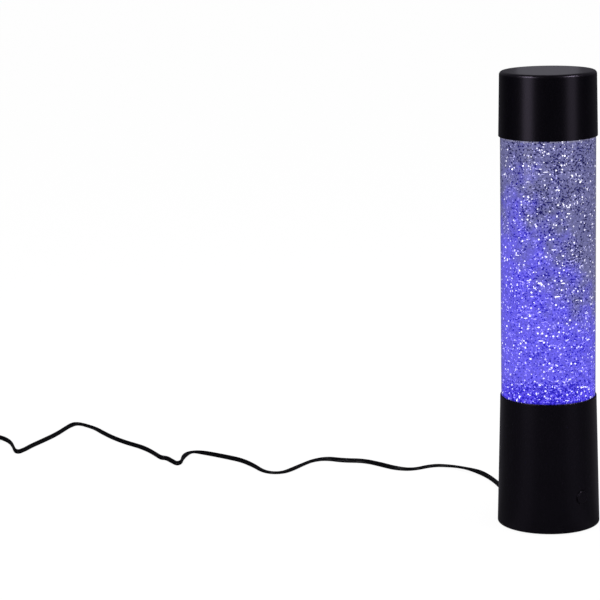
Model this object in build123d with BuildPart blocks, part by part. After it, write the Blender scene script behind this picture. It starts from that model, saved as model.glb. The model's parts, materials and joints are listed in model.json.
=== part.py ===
from build123d import *
import math
import os

# A free-standing glitter lamp, in millimetres. Z is up and the origin is on the table, under the lamp's axis.
# The push button faces -Y and the lead leaves at +Y. A magnet on the motor below the tank drags the impeller round.

# Clearances
cut_overrun = 1.0
running_clearance = 0.05
sliding_clearance = 0.3
fitting_clearance = 0.02
seat_gap = 0.3

# Outside of the lamp
lamp_height = 350.0
base_height = 101.5
tank_radius = 36.0
base_rim_overhang = 0.8
base_foot_spread = 2.5
cap_height = 49.0
cap_mouth_overhang = 1.3
cap_top_overhang = 0.5
cap_edge_radius = 2.75

# Base shell
shell_wall = 2.2
shell_ground_gap = 0.8
shell_bottom_fillet = 0.8
rim_fillet = 0.6
shelf_thickness = 2.8
shelf_ledge_width = 5.7

# Tank, open at the top, with a narrower spigot that drops into the base
tank_wall = 2.5
tank_floor_thickness = 4.0
spigot_length = 22.0
spigot_step = 1.8
spigot_fillet = 1.5
gasket_thickness = 1.0
gasket_width = 5.0
pin_boss_radius = 4.0
pin_boss_height = 1.5

# Tank lid, its seal and the fill plug
lid_flange_thickness = 3.0
lid_plug_depth = 8.0
seal_radius = 1.1
fill_hole_radius = 5.0
fill_flange_radius = 7.5
fill_flange_thickness = 1.6
fill_plug_chamfer = 0.5
air_gap = 4.0
liquid_gap = 0.2

# Cap, hollow above the lid
cap_wall = 2.5
cap_hollow_height = 22.5
cap_mouth_fillet = 0.4

# Impeller on its fixed pin
impeller_wall_gap = 11.7
impeller_disc_thickness = 4.5
impeller_hub_radius = 4.5
impeller_hub_height = 9.0
blade_height = 5.0
blade_thickness = 1.6
blade_curve_radius = 14.0
blade_count = 5
pin_radius = 1.0
pin_depth = 3.5
pin_head_radius = 2.4
pin_head_height = 1.2
impeller_room = 1.5

# Magnets, the same in the impeller and in the carrier under the tank
magnet_radius = 4.0
magnet_thickness = 3.0
magnet_place_share = 0.5
carrier_edge = 1.0
carrier_thickness = 5.5
carrier_hub_radius = 4.0
carrier_hub_height = 1.2
carrier_gap = 1.2

# Motor
motor_radius = 12.2
motor_length = 14.5
motor_edge_fillet = 0.8
motor_boss_radius = 3.1
motor_boss_height = 1.5
motor_bush_length = 3.0
shaft_radius = 1.0
shaft_depth_in_motor = 10.0
end_cap_radius = 11.4
end_cap_thickness = 2.0
terminal_offset = 5.0
terminal_length = 4.0
terminal_width = 2.0
terminal_thickness = 0.5

# Motor bracket, hung from three posts under the shelf
post_radius = 3.0
post_inset = 0.1
post_count = 3
bracket_post_angle = 30.0
bracket_post_length = 5.2
bracket_thickness = 2.0
bracket_disc_radius = 13.5
bracket_arm_width = 7.0
motor_screw_offset = 8.5

# Light board, a ring of printed board on three short posts, between the bracket's posts
board_thickness = 1.6
light_board_inset = 0.5
light_board_room = 2.0
light_post_angle = 90.0
light_post_length = 2.2
light_count = 12
light_size = 5.0
light_height = 1.6
light_inset = 4.5
light_well_depth = 0.4

# Screws: shank and head radius and head height of each size
small_shank_radius = 0.9
small_head_radius = 1.8
small_head_height = 1.2
small_screw_grip = 3.0
bracket_screw_grip = 6.0
plate_shank_radius = 1.4
plate_head_radius = 2.7
plate_head_height = 1.5
plate_screw_grip = 10.0
recess_share = 0.6
recess_width_share = 0.22
recess_depth_share = 0.55

# Base plate and feet
plate_thickness = 3.0
plate_fillet = 0.4
plate_screw_count = 4
plate_screw_angle = 45.0
plate_screw_inset = 6.2
plate_boss_radius = 3.5
plate_boss_height = 12.0
web_thickness = 2.0
head_recess_gap = 0.2
foot_radius = 5.5
foot_height = 2.0
foot_fillet = 0.5
foot_count = 4
foot_inset = 8.2

# Push button and the switch behind it
button_height = 27.5
button_radius = 5.0
button_proud = 0.8
button_travel = 1.5
button_edge_fillet = 0.7
button_flange_radius = 6.3
button_flange_thickness = 1.2
guide_radius = 7.6
guide_depth = 2.1
switch_size = 8.5
switch_depth = 7.0
switch_bezel = 0.6
plunger_radius = 1.6
plunger_seat_depth = 3.0
plunger_hidden_length = 4.0
pin_pitch = 2.5
switch_pin_radius = 0.35
switch_pin_proud = 1.2

# Control board, upright behind the button
board_side_gap = 1.0
board_bottom = 7.5
board_top = 44.0
board_boss_radius = 2.6
board_boss_inset = 3.5
rail_width = 20.0
rail_height = 5.5
rail_thickness = 1.6
chip_width = 6.0
chip_height = 5.0
chip_thickness = 1.5
chip_rail_gap = 4.0
chip_offset = 6.0
capacitor_radius = 3.0
capacitor_length = 9.0
capacitor_offset = 10.5
capacitor_groove_radius = 0.3
socket_width = 7.5
socket_height = 5.0
socket_depth = 5.5
socket_offset = 6.5
socket_screw_gap = 0.3

# Wires inside the base
wire_radius = 0.6
wire_gap = 2.5
wire_run = 3.0
arc_share = 0.45

# Lead: a flat two-core flex, drawn as the round tube that has its section
lead_width = 4.0
lead_thickness = 2.0
lead_height = 12.0
bush_body_radius = 4.0
bush_flange_radius = 5.6
bush_flange_thickness = 1.5
boot_length = 10.0
boot_end_radius = 2.6
boot_groove_count = 3
boot_groove_depth = 0.5
boot_groove_width = 1.2
clamp_distance = 20.0
clamp_length = 20.0
clamp_width = 6.0
clamp_thickness = 2.0
clamp_screw_offset = 6.5

# Coil of the lead, and the tie round it
coil_radius = 26.5
coil_pitch = 4.6
coil_layer_rise = 3.6
coil_half_turns_in_layer = 4
tie_width = 4.0
tie_thickness = 0.5
tie_side_gap = 0.6
tie_floor_gap = 0.1
tie_lap_length = 5.0

# Plug at the far end of the lead
plug_offset = 8.0
plug_approach_step = 10.5
plug_turn_share = 0.4
plug_boot_length = 9.0
plug_boot_radius = 2.8
plug_body_length = 24.0
plug_body_width = 15.0
plug_body_height = 8.0
plug_body_fillet = 1.8
plug_shell_width = 12.0
plug_shell_height = 4.5
plug_shell_wall = 0.4
plug_shell_length = 12.0
plug_shell_seat = 1.5
plug_window_size = 2.0
plug_window_offset = 2.6
plug_tongue_height = 1.9
plug_tongue_inset = 0.6
contact_count = 4
contact_pitch = 2.2
contact_width = 1.1
contact_thickness = 0.2
contact_length = 8.0

# Heights that follow from the stack of pieces
tank_shoulder = base_height + seat_gap
tank_bottom = tank_shoulder - spigot_length
tank_floor = tank_bottom + tank_floor_thickness
shelf_top = tank_bottom - gasket_thickness
shelf_bottom = shelf_top - shelf_thickness
lid_top = lamp_height - cap_wall - cap_hollow_height
tank_top = lid_top - lid_flange_thickness
lid_plug_bottom = tank_top - lid_plug_depth
liquid_top = lid_plug_bottom - air_gap
cap_bottom = lamp_height - cap_height
impeller_bottom = tank_floor + pin_boss_height + seat_gap
impeller_disc_top = impeller_bottom + impeller_disc_thickness
impeller_hub_top = impeller_bottom + impeller_hub_height
pin_head_bottom = impeller_hub_top + seat_gap
pin_top = pin_head_bottom + pin_head_height
carrier_top = tank_bottom - carrier_gap
carrier_bottom = carrier_top - carrier_thickness
bracket_top = shelf_bottom - bracket_post_length
motor_top = bracket_top - bracket_thickness
motor_bottom = motor_top - motor_length
end_cap_bottom = motor_bottom - end_cap_thickness
light_board_top = shelf_bottom - light_post_length
light_board_bottom = light_board_top - board_thickness
plate_top = shell_ground_gap + plate_thickness

# Radii that follow from the tank's
base_rim_radius = tank_radius + base_rim_overhang
base_foot_radius = base_rim_radius + base_foot_spread
cap_mouth_radius = tank_radius + cap_mouth_overhang
cap_top_radius = tank_radius + cap_top_overhang
cap_bore = tank_radius + seat_gap
tank_bore = tank_radius - tank_wall
spigot_radius = tank_radius - spigot_step
spigot_bore = spigot_radius - tank_wall
rim_bore = spigot_radius + seat_gap
shelf_bore_radius = spigot_radius - shelf_ledge_width
post_circle_radius = shelf_bore_radius + post_radius + post_inset
impeller_radius = spigot_bore - impeller_wall_gap
magnet_offset = impeller_radius * magnet_place_share
carrier_radius = magnet_offset + magnet_radius + carrier_edge
light_board_radius = shelf_bore_radius - light_board_inset
light_board_bore = carrier_radius + light_board_room
light_circle_radius = light_board_radius - light_inset
lead_radius = (lead_width + lead_thickness) / 4


def base_radius_at(height):
    """Radius of the base's tapered outside at a height above the table."""
    return base_foot_radius + (base_rim_radius - base_foot_radius) * height / base_height


def wall_distance_at(height, offset):
    """Distance from the lamp's axis plane to the shell's inner wall, beside a piece offset from its middle."""
    return math.sqrt((base_radius_at(height) - shell_wall) ** 2 - offset**2)


# Base plate and what is placed from its edge
plate_radius = base_radius_at(plate_top) - shell_wall - seat_gap
plate_screw_circle_radius = plate_radius - plate_screw_inset
foot_circle_radius = plate_radius - foot_inset

# Distances from the lamp's axis, along -Y for the button's side and along +Y for the lead's side
button_face = base_radius_at(button_height) + button_proud
guide_face = base_radius_at(button_height) - shell_wall - guide_depth
button_inner_face = guide_face - sliding_clearance - button_flange_thickness
switch_front = button_inner_face - button_travel - sliding_clearance
board_front = switch_front - switch_depth
board_back = board_front - board_thickness
board_middle_height = (board_bottom + board_top) / 2
plate_boss_offset = plate_screw_circle_radius * math.sin(math.radians(plate_screw_angle))
board_width = (plate_boss_offset - plate_boss_radius - board_side_gap) * 2
board_hole_offset = board_width / 2 - board_boss_inset
board_hole_height = board_top - board_boss_inset
socket_place_height = board_hole_height - small_head_radius - socket_screw_gap - socket_height / 2
chip_place_height = board_bottom + rail_height + chip_rail_gap + chip_height / 2
bush_outer_seat = base_radius_at(lead_height - bush_flange_radius) + fitting_clearance
bush_inner_seat = wall_distance_at(lead_height + bush_flange_radius, bush_flange_radius) - fitting_clearance
bush_inner_end = bush_inner_seat - bush_flange_thickness
boot_start = bush_outer_seat + bush_flange_thickness
boot_end = boot_start + boot_length


def pan_screws(seat, places, shank_radius, grip, head_radius, head_height):
    """Pan-head screws with a cross recess, heads standing on the seat plane and shanks running down from it."""
    long_side = head_radius * 2 * recess_share
    short_side = head_radius * 2 * recess_width_share
    with BuildPart() as screws:
        with BuildSketch(seat):
            with Locations(*places):
                Circle(head_radius)
        extrude(amount=head_height)
        with BuildSketch(seat):
            with Locations(*places):
                Circle(shank_radius)
        extrude(amount=-grip)
        with BuildSketch(seat.offset(head_height)):
            with Locations(*places):
                Rectangle(long_side, short_side)
                Rectangle(short_side, long_side)
        extrude(amount=-head_height * recess_depth_share, mode=Mode.SUBTRACT)
    return screws.part


def ring_places(radius, count, first_angle):
    """Points evenly round a circle, as x and y pairs."""
    angles = [math.radians(first_angle + 360 * index / count) for index in range(count)]
    return [(radius * math.cos(angle), radius * math.sin(angle)) for angle in angles]


def wire_part(points, radius):
    """A round wire along straight runs joined by tangent arcs, with flat ends."""
    with BuildPart() as wire:
        with BuildLine():
            route = FilletPolyline(*points, radius=corner_radii(points))
        with BuildSketch(Plane(origin=route @ 0, z_dir=route % 0)):
            Circle(radius)
        sweep()
    return wire.part


def corner_radii(points):
    """The radius of each corner's arc, as large as its two runs allow."""
    places = [Vector(*point) for point in points]
    radii = []
    for before, corner, after in zip(places, places[1:], places[2:]):
        shorter = min((corner - before).length, (after - corner).length)
        turn = math.radians((corner - before).get_angle(after - corner))
        radii.append(arc_share * shorter / math.tan(turn / 2))
    return radii


post_places = ring_places(post_circle_radius, post_count, bracket_post_angle)
light_post_places = ring_places(post_circle_radius, post_count, light_post_angle)
plate_screw_places = ring_places(plate_screw_circle_radius, plate_screw_count, plate_screw_angle)
foot_places = ring_places(foot_circle_radius, foot_count, 0)
board_hole_places = [(side * board_hole_offset, board_hole_height) for side in (-1, 1)]
clamp_places = [(side * clamp_screw_offset, clamp_distance) for side in (-1, 1)]
motor_screw_places = [(side * motor_screw_offset, 0) for side in (-1, 1)]

# Bosses, webs and button guide, cut off in the middle of the shell's wall, which they join
mid_wall_foot_radius = base_radius_at(plate_top) - shell_wall / 2
mid_wall_top_radius = base_radius_at(shelf_bottom) - shell_wall / 2
with BuildPart() as base_bosses:
    with BuildSketch(Plane.XY.offset(plate_top)):
        with PolarLocations(plate_screw_circle_radius, plate_screw_count, start_angle=plate_screw_angle):
            Circle(plate_boss_radius)
            web_length = base_foot_radius - plate_screw_circle_radius
            Rectangle(web_length, web_thickness, align=(Align.MIN, Align.CENTER))
    extrude(amount=plate_boss_height)
    with BuildSketch(Plane.front.offset(guide_face)):
        with Locations((0, button_height)):
            Circle(guide_radius)
    extrude(amount=button_face - guide_face)
    with BuildSketch(Plane.front.offset(board_front)):
        with Locations(*board_hole_places):
            Circle(board_boss_radius)
    extrude(amount=base_foot_radius - board_front)
    with BuildSketch(Plane.XZ):
        with BuildLine():
            Polyline(
                (0, plate_top),
                (mid_wall_foot_radius, plate_top),
                (mid_wall_top_radius, shelf_bottom),
                (0, shelf_bottom),
                close=True,
            )
        make_face()
    revolve(axis=Axis.Z, mode=Mode.INTERSECT)

# Base shell: tapered skirt, rim that takes the tank's spigot, shelf and hanging posts
with BuildPart() as base_shell:
    with BuildSketch(Plane.XZ) as wall_profile:
        with BuildLine():
            Polyline(
                (base_radius_at(shell_ground_gap), shell_ground_gap),
                (base_rim_radius, base_height),
                (rim_bore, base_height),
                (rim_bore, shelf_top),
                (shelf_bore_radius, shelf_top),
                (shelf_bore_radius, shelf_bottom),
                (base_radius_at(shelf_bottom) - shell_wall, shelf_bottom),
                (base_radius_at(shell_ground_gap) - shell_wall, shell_ground_gap),
                close=True,
            )
        make_face()
        outer_foot = (base_radius_at(shell_ground_gap), shell_ground_gap)
        fillet(wall_profile.vertices().sort_by_distance(outer_foot)[0], shell_bottom_fillet)
        fillet(wall_profile.vertices().sort_by_distance((base_rim_radius, base_height))[0], rim_fillet)
    revolve(axis=Axis.Z)
    with BuildSketch(Plane.XY.offset(shelf_bottom)):
        with Locations(*post_places):
            Circle(post_radius)
    extrude(amount=-bracket_post_length)
    with BuildSketch(Plane.XY.offset(shelf_bottom)):
        with Locations(*light_post_places):
            Circle(post_radius)
    extrude(amount=-light_post_length)
    add(base_bosses.part)
    with BuildSketch(Plane.front.offset(guide_face - cut_overrun)):
        with Locations((0, button_height)):
            Circle(button_radius + sliding_clearance)
    extrude(amount=button_face - guide_face + cut_overrun * 2, mode=Mode.SUBTRACT)
    with BuildSketch(Plane.back.offset(bush_inner_end)):
        with Locations((0, lead_height)):
            Circle(bush_body_radius + fitting_clearance)
    extrude(amount=boot_start - bush_inner_end, mode=Mode.SUBTRACT)
    with BuildSketch(Plane.front.offset(board_front)):
        with Locations(*board_hole_places):
            Circle(small_shank_radius + fitting_clearance)
    extrude(amount=small_screw_grip, mode=Mode.SUBTRACT)
    with BuildSketch(Plane.XY.offset(plate_top)):
        with Locations(*plate_screw_places):
            Circle(plate_shank_radius + fitting_clearance)
    extrude(amount=plate_screw_grip, mode=Mode.SUBTRACT)
    with BuildSketch(Plane.XY.offset(bracket_top)):
        with Locations(*post_places):
            Circle(small_shank_radius + fitting_clearance)
    extrude(amount=bracket_screw_grip, mode=Mode.SUBTRACT)
    with BuildSketch(Plane.XY.offset(light_board_top)):
        with Locations(*light_post_places):
            Circle(small_shank_radius + fitting_clearance)
    extrude(amount=small_screw_grip, mode=Mode.SUBTRACT)

# Base plate: closes the shell from below, with foot and screw recesses, board rail and cord saddle
plate_head_seat = shell_ground_gap + head_recess_gap + plate_head_height
rail_offset = board_thickness / 2 + fitting_clearance + rail_thickness / 2
board_middle = (board_front + board_back) / 2
saddle_height = lead_height - lead_radius - fitting_clearance
with BuildPart() as base_plate:
    with BuildSketch(Plane.XY.offset(shell_ground_gap)):
        Circle(plate_radius)
    extrude(amount=plate_thickness)
    fillet(base_plate.edges().group_by(Axis.Z)[0], plate_fillet)
    with BuildSketch(Plane.XY.offset(plate_top)):
        with Locations((0, -board_middle - rail_offset), (0, -board_middle + rail_offset)):
            Rectangle(rail_width, rail_thickness)
    extrude(amount=board_bottom - plate_top + rail_height)
    with BuildSketch(Plane.XY.offset(plate_top)):
        with Locations((0, -board_middle)):
            Rectangle(rail_width, board_thickness + rail_thickness)
    extrude(amount=board_bottom - plate_top - fitting_clearance)
    with BuildSketch(Plane.XY.offset(plate_top)):
        with Locations((0, clamp_distance)):
            Rectangle(clamp_length, clamp_width)
    extrude(amount=saddle_height - plate_top)
    with BuildSketch(Plane.XY.offset(saddle_height)):
        with Locations(*clamp_places):
            Circle(small_shank_radius + fitting_clearance)
    extrude(amount=-small_screw_grip, mode=Mode.SUBTRACT)
    with BuildSketch(Plane.XY):
        with Locations(*foot_places):
            Circle(foot_radius + fitting_clearance)
    extrude(amount=foot_height, mode=Mode.SUBTRACT)
    with BuildSketch(Plane.XY):
        with Locations(*plate_screw_places):
            Circle(plate_head_radius + head_recess_gap)
    extrude(amount=plate_head_seat, mode=Mode.SUBTRACT)
    with BuildSketch(Plane.XY):
        with Locations(*plate_screw_places):
            Circle(plate_shank_radius + fitting_clearance)
    extrude(amount=plate_top + cut_overrun, mode=Mode.SUBTRACT)

# Rubber feet, set in the plate's recesses
with BuildPart() as rubber_feet:
    with BuildSketch(Plane.XY):
        with Locations(*foot_places):
            Circle(foot_radius)
    extrude(amount=foot_height)
    fillet(rubber_feet.edges().group_by(Axis.Z)[0], foot_fillet)

# Plate screws, driven up from below
mirrored_plate_places = [(x, -y) for x, y in plate_screw_places]
plate_seat_plane = Plane(origin=(0, 0, plate_head_seat), x_dir=(1, 0, 0), z_dir=(0, 0, -1))
plate_screw_length = plate_top - plate_head_seat + plate_screw_grip - cut_overrun
plate_screws = pan_screws(
    plate_seat_plane,
    mirrored_plate_places,
    plate_shank_radius,
    plate_screw_length,
    plate_head_radius,
    plate_head_height,
)

# Tank: clear vessel with a stepped spigot and a pin boss in its floor
with BuildPart() as tank:
    with BuildSketch(Plane.XZ) as tank_profile:
        with BuildLine():
            Polyline(
                (0, tank_bottom),
                (spigot_radius, tank_bottom),
                (spigot_radius, tank_shoulder),
                (tank_radius, tank_shoulder),
                (tank_radius, tank_top),
                (tank_bore, tank_top),
                (tank_bore, tank_shoulder + tank_wall),
                (spigot_bore, tank_shoulder),
                (spigot_bore, tank_floor),
                (pin_boss_radius, tank_floor),
                (pin_boss_radius, tank_floor + pin_boss_height),
                (0, tank_floor + pin_boss_height),
                close=True,
            )
        make_face()
        fillet(tank_profile.vertices().sort_by_distance((spigot_radius, tank_bottom))[0], spigot_fillet)
        fillet(tank_profile.vertices().sort_by_distance((spigot_bore, tank_floor))[0], spigot_fillet)
    revolve(axis=Axis.Z)
    with BuildSketch(Plane.XY.offset(tank_floor + pin_boss_height)):
        Circle(pin_radius + fitting_clearance)
    extrude(amount=-pin_depth, mode=Mode.SUBTRACT)

# Gasket between the tank's floor and the shelf
with BuildPart() as tank_gasket:
    with BuildSketch(Plane.XY.offset(shelf_top)):
        Circle(shelf_bore_radius + gasket_width)
        Circle(shelf_bore_radius, mode=Mode.SUBTRACT)
    extrude(amount=gasket_thickness)

# Tank lid: flange on the rim, plug in the bore, seal groove and fill hole
lid_plug_radius = tank_bore - seat_gap
seal_ring_radius = tank_bore - seal_radius - fitting_clearance
seal_height = tank_top - lid_plug_depth / 2
with BuildPart() as tank_lid:
    with BuildSketch(Plane.XY.offset(lid_plug_bottom)):
        Circle(lid_plug_radius)
    extrude(amount=lid_plug_depth)
    with BuildSketch(Plane.XY.offset(tank_top)):
        Circle(tank_radius - seat_gap)
    extrude(amount=lid_flange_thickness)
    with BuildSketch(Plane.XY.offset(seal_height)):
        Circle(tank_bore)
        Circle(seal_ring_radius - seal_radius - fitting_clearance, mode=Mode.SUBTRACT)
    extrude(amount=seal_radius + fitting_clearance, both=True, mode=Mode.SUBTRACT)
    with BuildSketch(Plane.XY.offset(lid_plug_bottom)):
        Circle(fill_hole_radius)
    extrude(amount=lid_top - lid_plug_bottom, mode=Mode.SUBTRACT)

# Seal ring in the lid's groove
with BuildPart() as lid_seal:
    with BuildSketch(Plane.XZ):
        with Locations((seal_ring_radius, seal_height)):
            Circle(seal_radius)
    revolve(axis=Axis.Z)

# Fill plug, pressed into the lid
with BuildPart() as fill_plug:
    with BuildSketch(Plane.XY.offset(lid_plug_bottom)):
        Circle(fill_hole_radius - fitting_clearance)
    extrude(amount=lid_top - lid_plug_bottom)
    with BuildSketch(Plane.XY.offset(lid_top)):
        Circle(fill_flange_radius)
    extrude(amount=fill_flange_thickness)
    chamfer(fill_plug.edges().group_by(Axis.Z)[0], fill_plug_chamfer)

# Cap: hollow drum that slips over the tank and seats on the lid's flange
cap_inner_radius = cap_top_radius - cap_wall
with BuildPart() as cap:
    with BuildSketch(Plane.XZ) as cap_profile:
        with BuildLine():
            Polyline(
                (cap_bore, cap_bottom),
                (cap_mouth_radius, cap_bottom),
                (cap_top_radius, lamp_height),
                (0, lamp_height),
                (0, lamp_height - cap_wall),
                (cap_inner_radius, lamp_height - cap_wall),
                (cap_inner_radius, lid_top),
                (cap_bore, lid_top),
                close=True,
            )
        make_face()
        fillet(cap_profile.vertices().sort_by_distance((cap_top_radius, lamp_height))[0], cap_edge_radius)
        fillet(cap_profile.vertices().sort_by_distance((cap_mouth_radius, cap_bottom))[0], cap_mouth_fillet)
    revolve(axis=Axis.Z)

# Liquid: fills the tank round the room in which the impeller turns
impeller_room_radius = impeller_radius + impeller_room
with BuildPart() as liquid:
    with BuildSketch(Plane.XZ):
        with BuildLine():
            Polyline(
                (impeller_room_radius, tank_floor + liquid_gap),
                (spigot_bore - spigot_fillet, tank_floor + liquid_gap),
                (spigot_bore - liquid_gap, tank_floor + spigot_fillet),
                (spigot_bore - liquid_gap, tank_shoulder + liquid_gap),
                (tank_bore - liquid_gap, tank_shoulder + tank_wall + liquid_gap),
                (tank_bore - liquid_gap, liquid_top),
                (0, liquid_top),
                (0, pin_top + impeller_room),
                (impeller_room_radius, pin_top + impeller_room),
                close=True,
            )
        make_face()
    revolve(axis=Axis.Z)

# Impeller: disc with curved blades, a hub that runs on the pin and two magnet pockets underneath
magnet_places = [(side * magnet_offset, 0) for side in (-1, 1)]
with BuildPart() as impeller:
    with BuildSketch(Plane.XY.offset(impeller_bottom)):
        Circle(impeller_radius)
    extrude(amount=impeller_disc_thickness)
    with BuildSketch(Plane.XY.offset(impeller_bottom)):
        Circle(impeller_hub_radius)
    extrude(amount=impeller_hub_height)
    with BuildSketch(Plane.XY.offset(impeller_disc_top)):
        with BuildLine(mode=Mode.PRIVATE) as blade_line:
            RadiusArc((impeller_hub_radius, 0), (impeller_radius - blade_thickness, 0), blade_curve_radius)
        with PolarLocations(0, blade_count):
            SlotArc(blade_line.edge(), blade_thickness)
    extrude(amount=blade_height)
    with BuildSketch(Plane.XY.offset(impeller_bottom)):
        with Locations(*magnet_places):
            Circle(magnet_radius + fitting_clearance)
    extrude(amount=magnet_thickness, mode=Mode.SUBTRACT)
    with BuildSketch(Plane.XY.offset(impeller_bottom)):
        Circle(pin_radius + running_clearance)
    extrude(amount=impeller_hub_height, mode=Mode.SUBTRACT)

with BuildPart() as impeller_magnets:
    with BuildSketch(Plane.XY.offset(impeller_bottom)):
        with Locations(*magnet_places):
            Circle(magnet_radius)
    extrude(amount=magnet_thickness)

# Pin that the impeller runs on, set in the tank's floor, with a head that keeps the impeller down
with BuildPart() as impeller_pin:
    with BuildSketch(Plane.XY.offset(tank_floor + pin_boss_height - pin_depth)):
        Circle(pin_radius)
    extrude(amount=pin_top - tank_floor - pin_boss_height + pin_depth)
    with BuildSketch(Plane.XY.offset(pin_head_bottom)):
        Circle(pin_head_radius)
    extrude(amount=pin_head_height)

# Magnet carrier on the motor's shaft, close under the tank's floor
with BuildPart() as magnet_carrier:
    with BuildSketch(Plane.XY.offset(carrier_bottom)):
        Circle(carrier_radius)
    extrude(amount=carrier_thickness)
    with BuildSketch(Plane.XY.offset(carrier_bottom)):
        Circle(carrier_hub_radius)
    extrude(amount=-carrier_hub_height)
    with BuildSketch(Plane.XY.offset(carrier_top)):
        with Locations(*magnet_places):
            Circle(magnet_radius + fitting_clearance)
    extrude(amount=-magnet_thickness, mode=Mode.SUBTRACT)
    with BuildSketch(Plane.XY.offset(carrier_top)):
        Circle(shaft_radius + fitting_clearance)
    extrude(amount=-carrier_thickness - carrier_hub_height, mode=Mode.SUBTRACT)

with BuildPart() as drive_magnets:
    with BuildSketch(Plane.XY.offset(carrier_top)):
        with Locations(*magnet_places):
            Circle(magnet_radius)
    extrude(amount=-magnet_thickness)

# Motor shaft, from inside the can to the carrier's top
shaft_bottom = motor_top - shaft_depth_in_motor
with BuildPart() as motor_shaft:
    with BuildSketch(Plane.XY.offset(shaft_bottom)):
        Circle(shaft_radius)
    extrude(amount=carrier_top - shaft_bottom)

# Motor can with a bearing boss on top and a bore for the shaft
motor_boss_top = motor_top + motor_boss_height
bush_radius = (shaft_radius + motor_boss_radius) / 2
with BuildPart() as motor_can:
    with BuildSketch(Plane.XY.offset(motor_bottom)):
        Circle(motor_radius)
    extrude(amount=motor_length)
    fillet(motor_can.edges().group_by(Axis.Z)[-1], motor_edge_fillet)
    with BuildSketch(Plane.XY.offset(motor_top)):
        Circle(motor_boss_radius)
    extrude(amount=motor_boss_height)
    with BuildSketch(Plane.XY.offset(motor_boss_top)):
        Circle(bush_radius + fitting_clearance)
    extrude(amount=-motor_bush_length, mode=Mode.SUBTRACT)
    with BuildSketch(Plane.XY.offset(motor_top)):
        Circle(shaft_radius + running_clearance * 2)
    extrude(amount=-shaft_depth_in_motor - seat_gap, mode=Mode.SUBTRACT)
    with BuildSketch(Plane.XY.offset(motor_top)):
        with Locations(*motor_screw_places):
            Circle(small_shank_radius + fitting_clearance)
    extrude(amount=-small_screw_grip, mode=Mode.SUBTRACT)

# Bearing bush in the motor's boss
with BuildPart() as motor_bush:
    with BuildSketch(Plane.XY.offset(motor_boss_top)):
        Circle(bush_radius)
        Circle(shaft_radius + running_clearance, mode=Mode.SUBTRACT)
    extrude(amount=-motor_bush_length)

# Motor end cap and its two terminals
with BuildPart() as motor_end_cap:
    with BuildSketch(Plane.XY.offset(motor_bottom)):
        Circle(end_cap_radius)
    extrude(amount=-end_cap_thickness)
    with BuildSketch(Plane.XY.offset(end_cap_bottom)):
        Circle(motor_boss_radius)
    extrude(amount=-motor_boss_height)

terminal_places = [(side * terminal_offset, 0) for side in (-1, 1)]
with BuildPart() as motor_terminals:
    with BuildSketch(Plane.XY.offset(end_cap_bottom)):
        with Locations(*terminal_places):
            Rectangle(terminal_width, terminal_thickness)
    extrude(amount=-terminal_length)

# Motor bracket: three arms to the posts, the motor screwed up against its middle
with BuildPart() as motor_bracket:
    with BuildSketch(Plane.XY.offset(motor_top)):
        Circle(bracket_disc_radius)
        with PolarLocations(0, post_count, start_angle=bracket_post_angle):
            Rectangle(post_circle_radius, bracket_arm_width, align=(Align.MIN, Align.CENTER))
        with Locations(*post_places):
            Circle(post_radius)
        Circle(motor_boss_radius + sliding_clearance, mode=Mode.SUBTRACT)
        with Locations(*post_places, *motor_screw_places):
            Circle(small_shank_radius + fitting_clearance, mode=Mode.SUBTRACT)
    extrude(amount=bracket_thickness)

motor_screws = pan_screws(
    Plane.XY.offset(bracket_top),
    motor_screw_places,
    small_shank_radius,
    bracket_thickness + small_screw_grip - cut_overrun,
    small_head_radius,
    small_head_height,
)

mirrored_posts = [(x, -y) for x, y in post_places]
bracket_screws = pan_screws(
    Plane(origin=(0, 0, motor_top), x_dir=(1, 0, 0), z_dir=(0, 0, -1)),
    mirrored_posts,
    small_shank_radius,
    bracket_thickness + bracket_screw_grip - cut_overrun,
    small_head_radius,
    small_head_height,
)

# Light board: ring with three ears, and its light chips
with BuildPart() as light_board:
    with BuildSketch(Plane.XY.offset(light_board_top)):
        Circle(light_board_radius)
        with PolarLocations(0, post_count, start_angle=light_post_angle):
            Rectangle(post_circle_radius, post_radius * 2, align=(Align.MIN, Align.CENTER))
        with Locations(*light_post_places):
            Circle(post_radius)
        Circle(light_board_bore, mode=Mode.SUBTRACT)
        with Locations(*light_post_places):
            Circle(small_shank_radius + fitting_clearance, mode=Mode.SUBTRACT)
    extrude(amount=-board_thickness)

with BuildPart() as light_chips:
    with BuildSketch(Plane.XY.offset(light_board_top)):
        with PolarLocations(light_circle_radius, light_count):
            Rectangle(light_size, light_size)
    extrude(amount=light_height)
    with BuildSketch(Plane.XY.offset(light_board_top + light_height)):
        with PolarLocations(light_circle_radius, light_count):
            Circle(light_size * recess_share / 2)
    extrude(amount=-light_well_depth, mode=Mode.SUBTRACT)

mirrored_light_posts = [(x, -y) for x, y in light_post_places]
light_board_screws = pan_screws(
    Plane(origin=(0, 0, light_board_bottom), x_dir=(1, 0, 0), z_dir=(0, 0, -1)),
    mirrored_light_posts,
    small_shank_radius,
    board_thickness + small_screw_grip - cut_overrun,
    small_head_radius,
    small_head_height,
)

# Control board, upright in the rail and screwed to two bosses
switch_pin_places = [
    (column * pin_pitch, button_height + row * pin_pitch) for column in (-1, 1) for row in (-1, 0, 1)
]
with BuildPart() as control_board:
    with BuildSketch(Plane.front.offset(board_back)):
        with Locations((0, board_middle_height)):
            Rectangle(board_width, board_top - board_bottom)
        with Locations(*board_hole_places):
            Circle(small_shank_radius + fitting_clearance, mode=Mode.SUBTRACT)
        with Locations(*switch_pin_places):
            Circle(switch_pin_radius + fitting_clearance, mode=Mode.SUBTRACT)
    extrude(amount=board_thickness)

mirrored_board_holes = [(-x, z) for x, z in board_hole_places]
control_board_screws = pan_screws(
    Plane.back.offset(-board_back),
    mirrored_board_holes,
    small_shank_radius,
    board_thickness + small_screw_grip - cut_overrun,
    small_head_radius,
    small_head_height,
)

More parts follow.
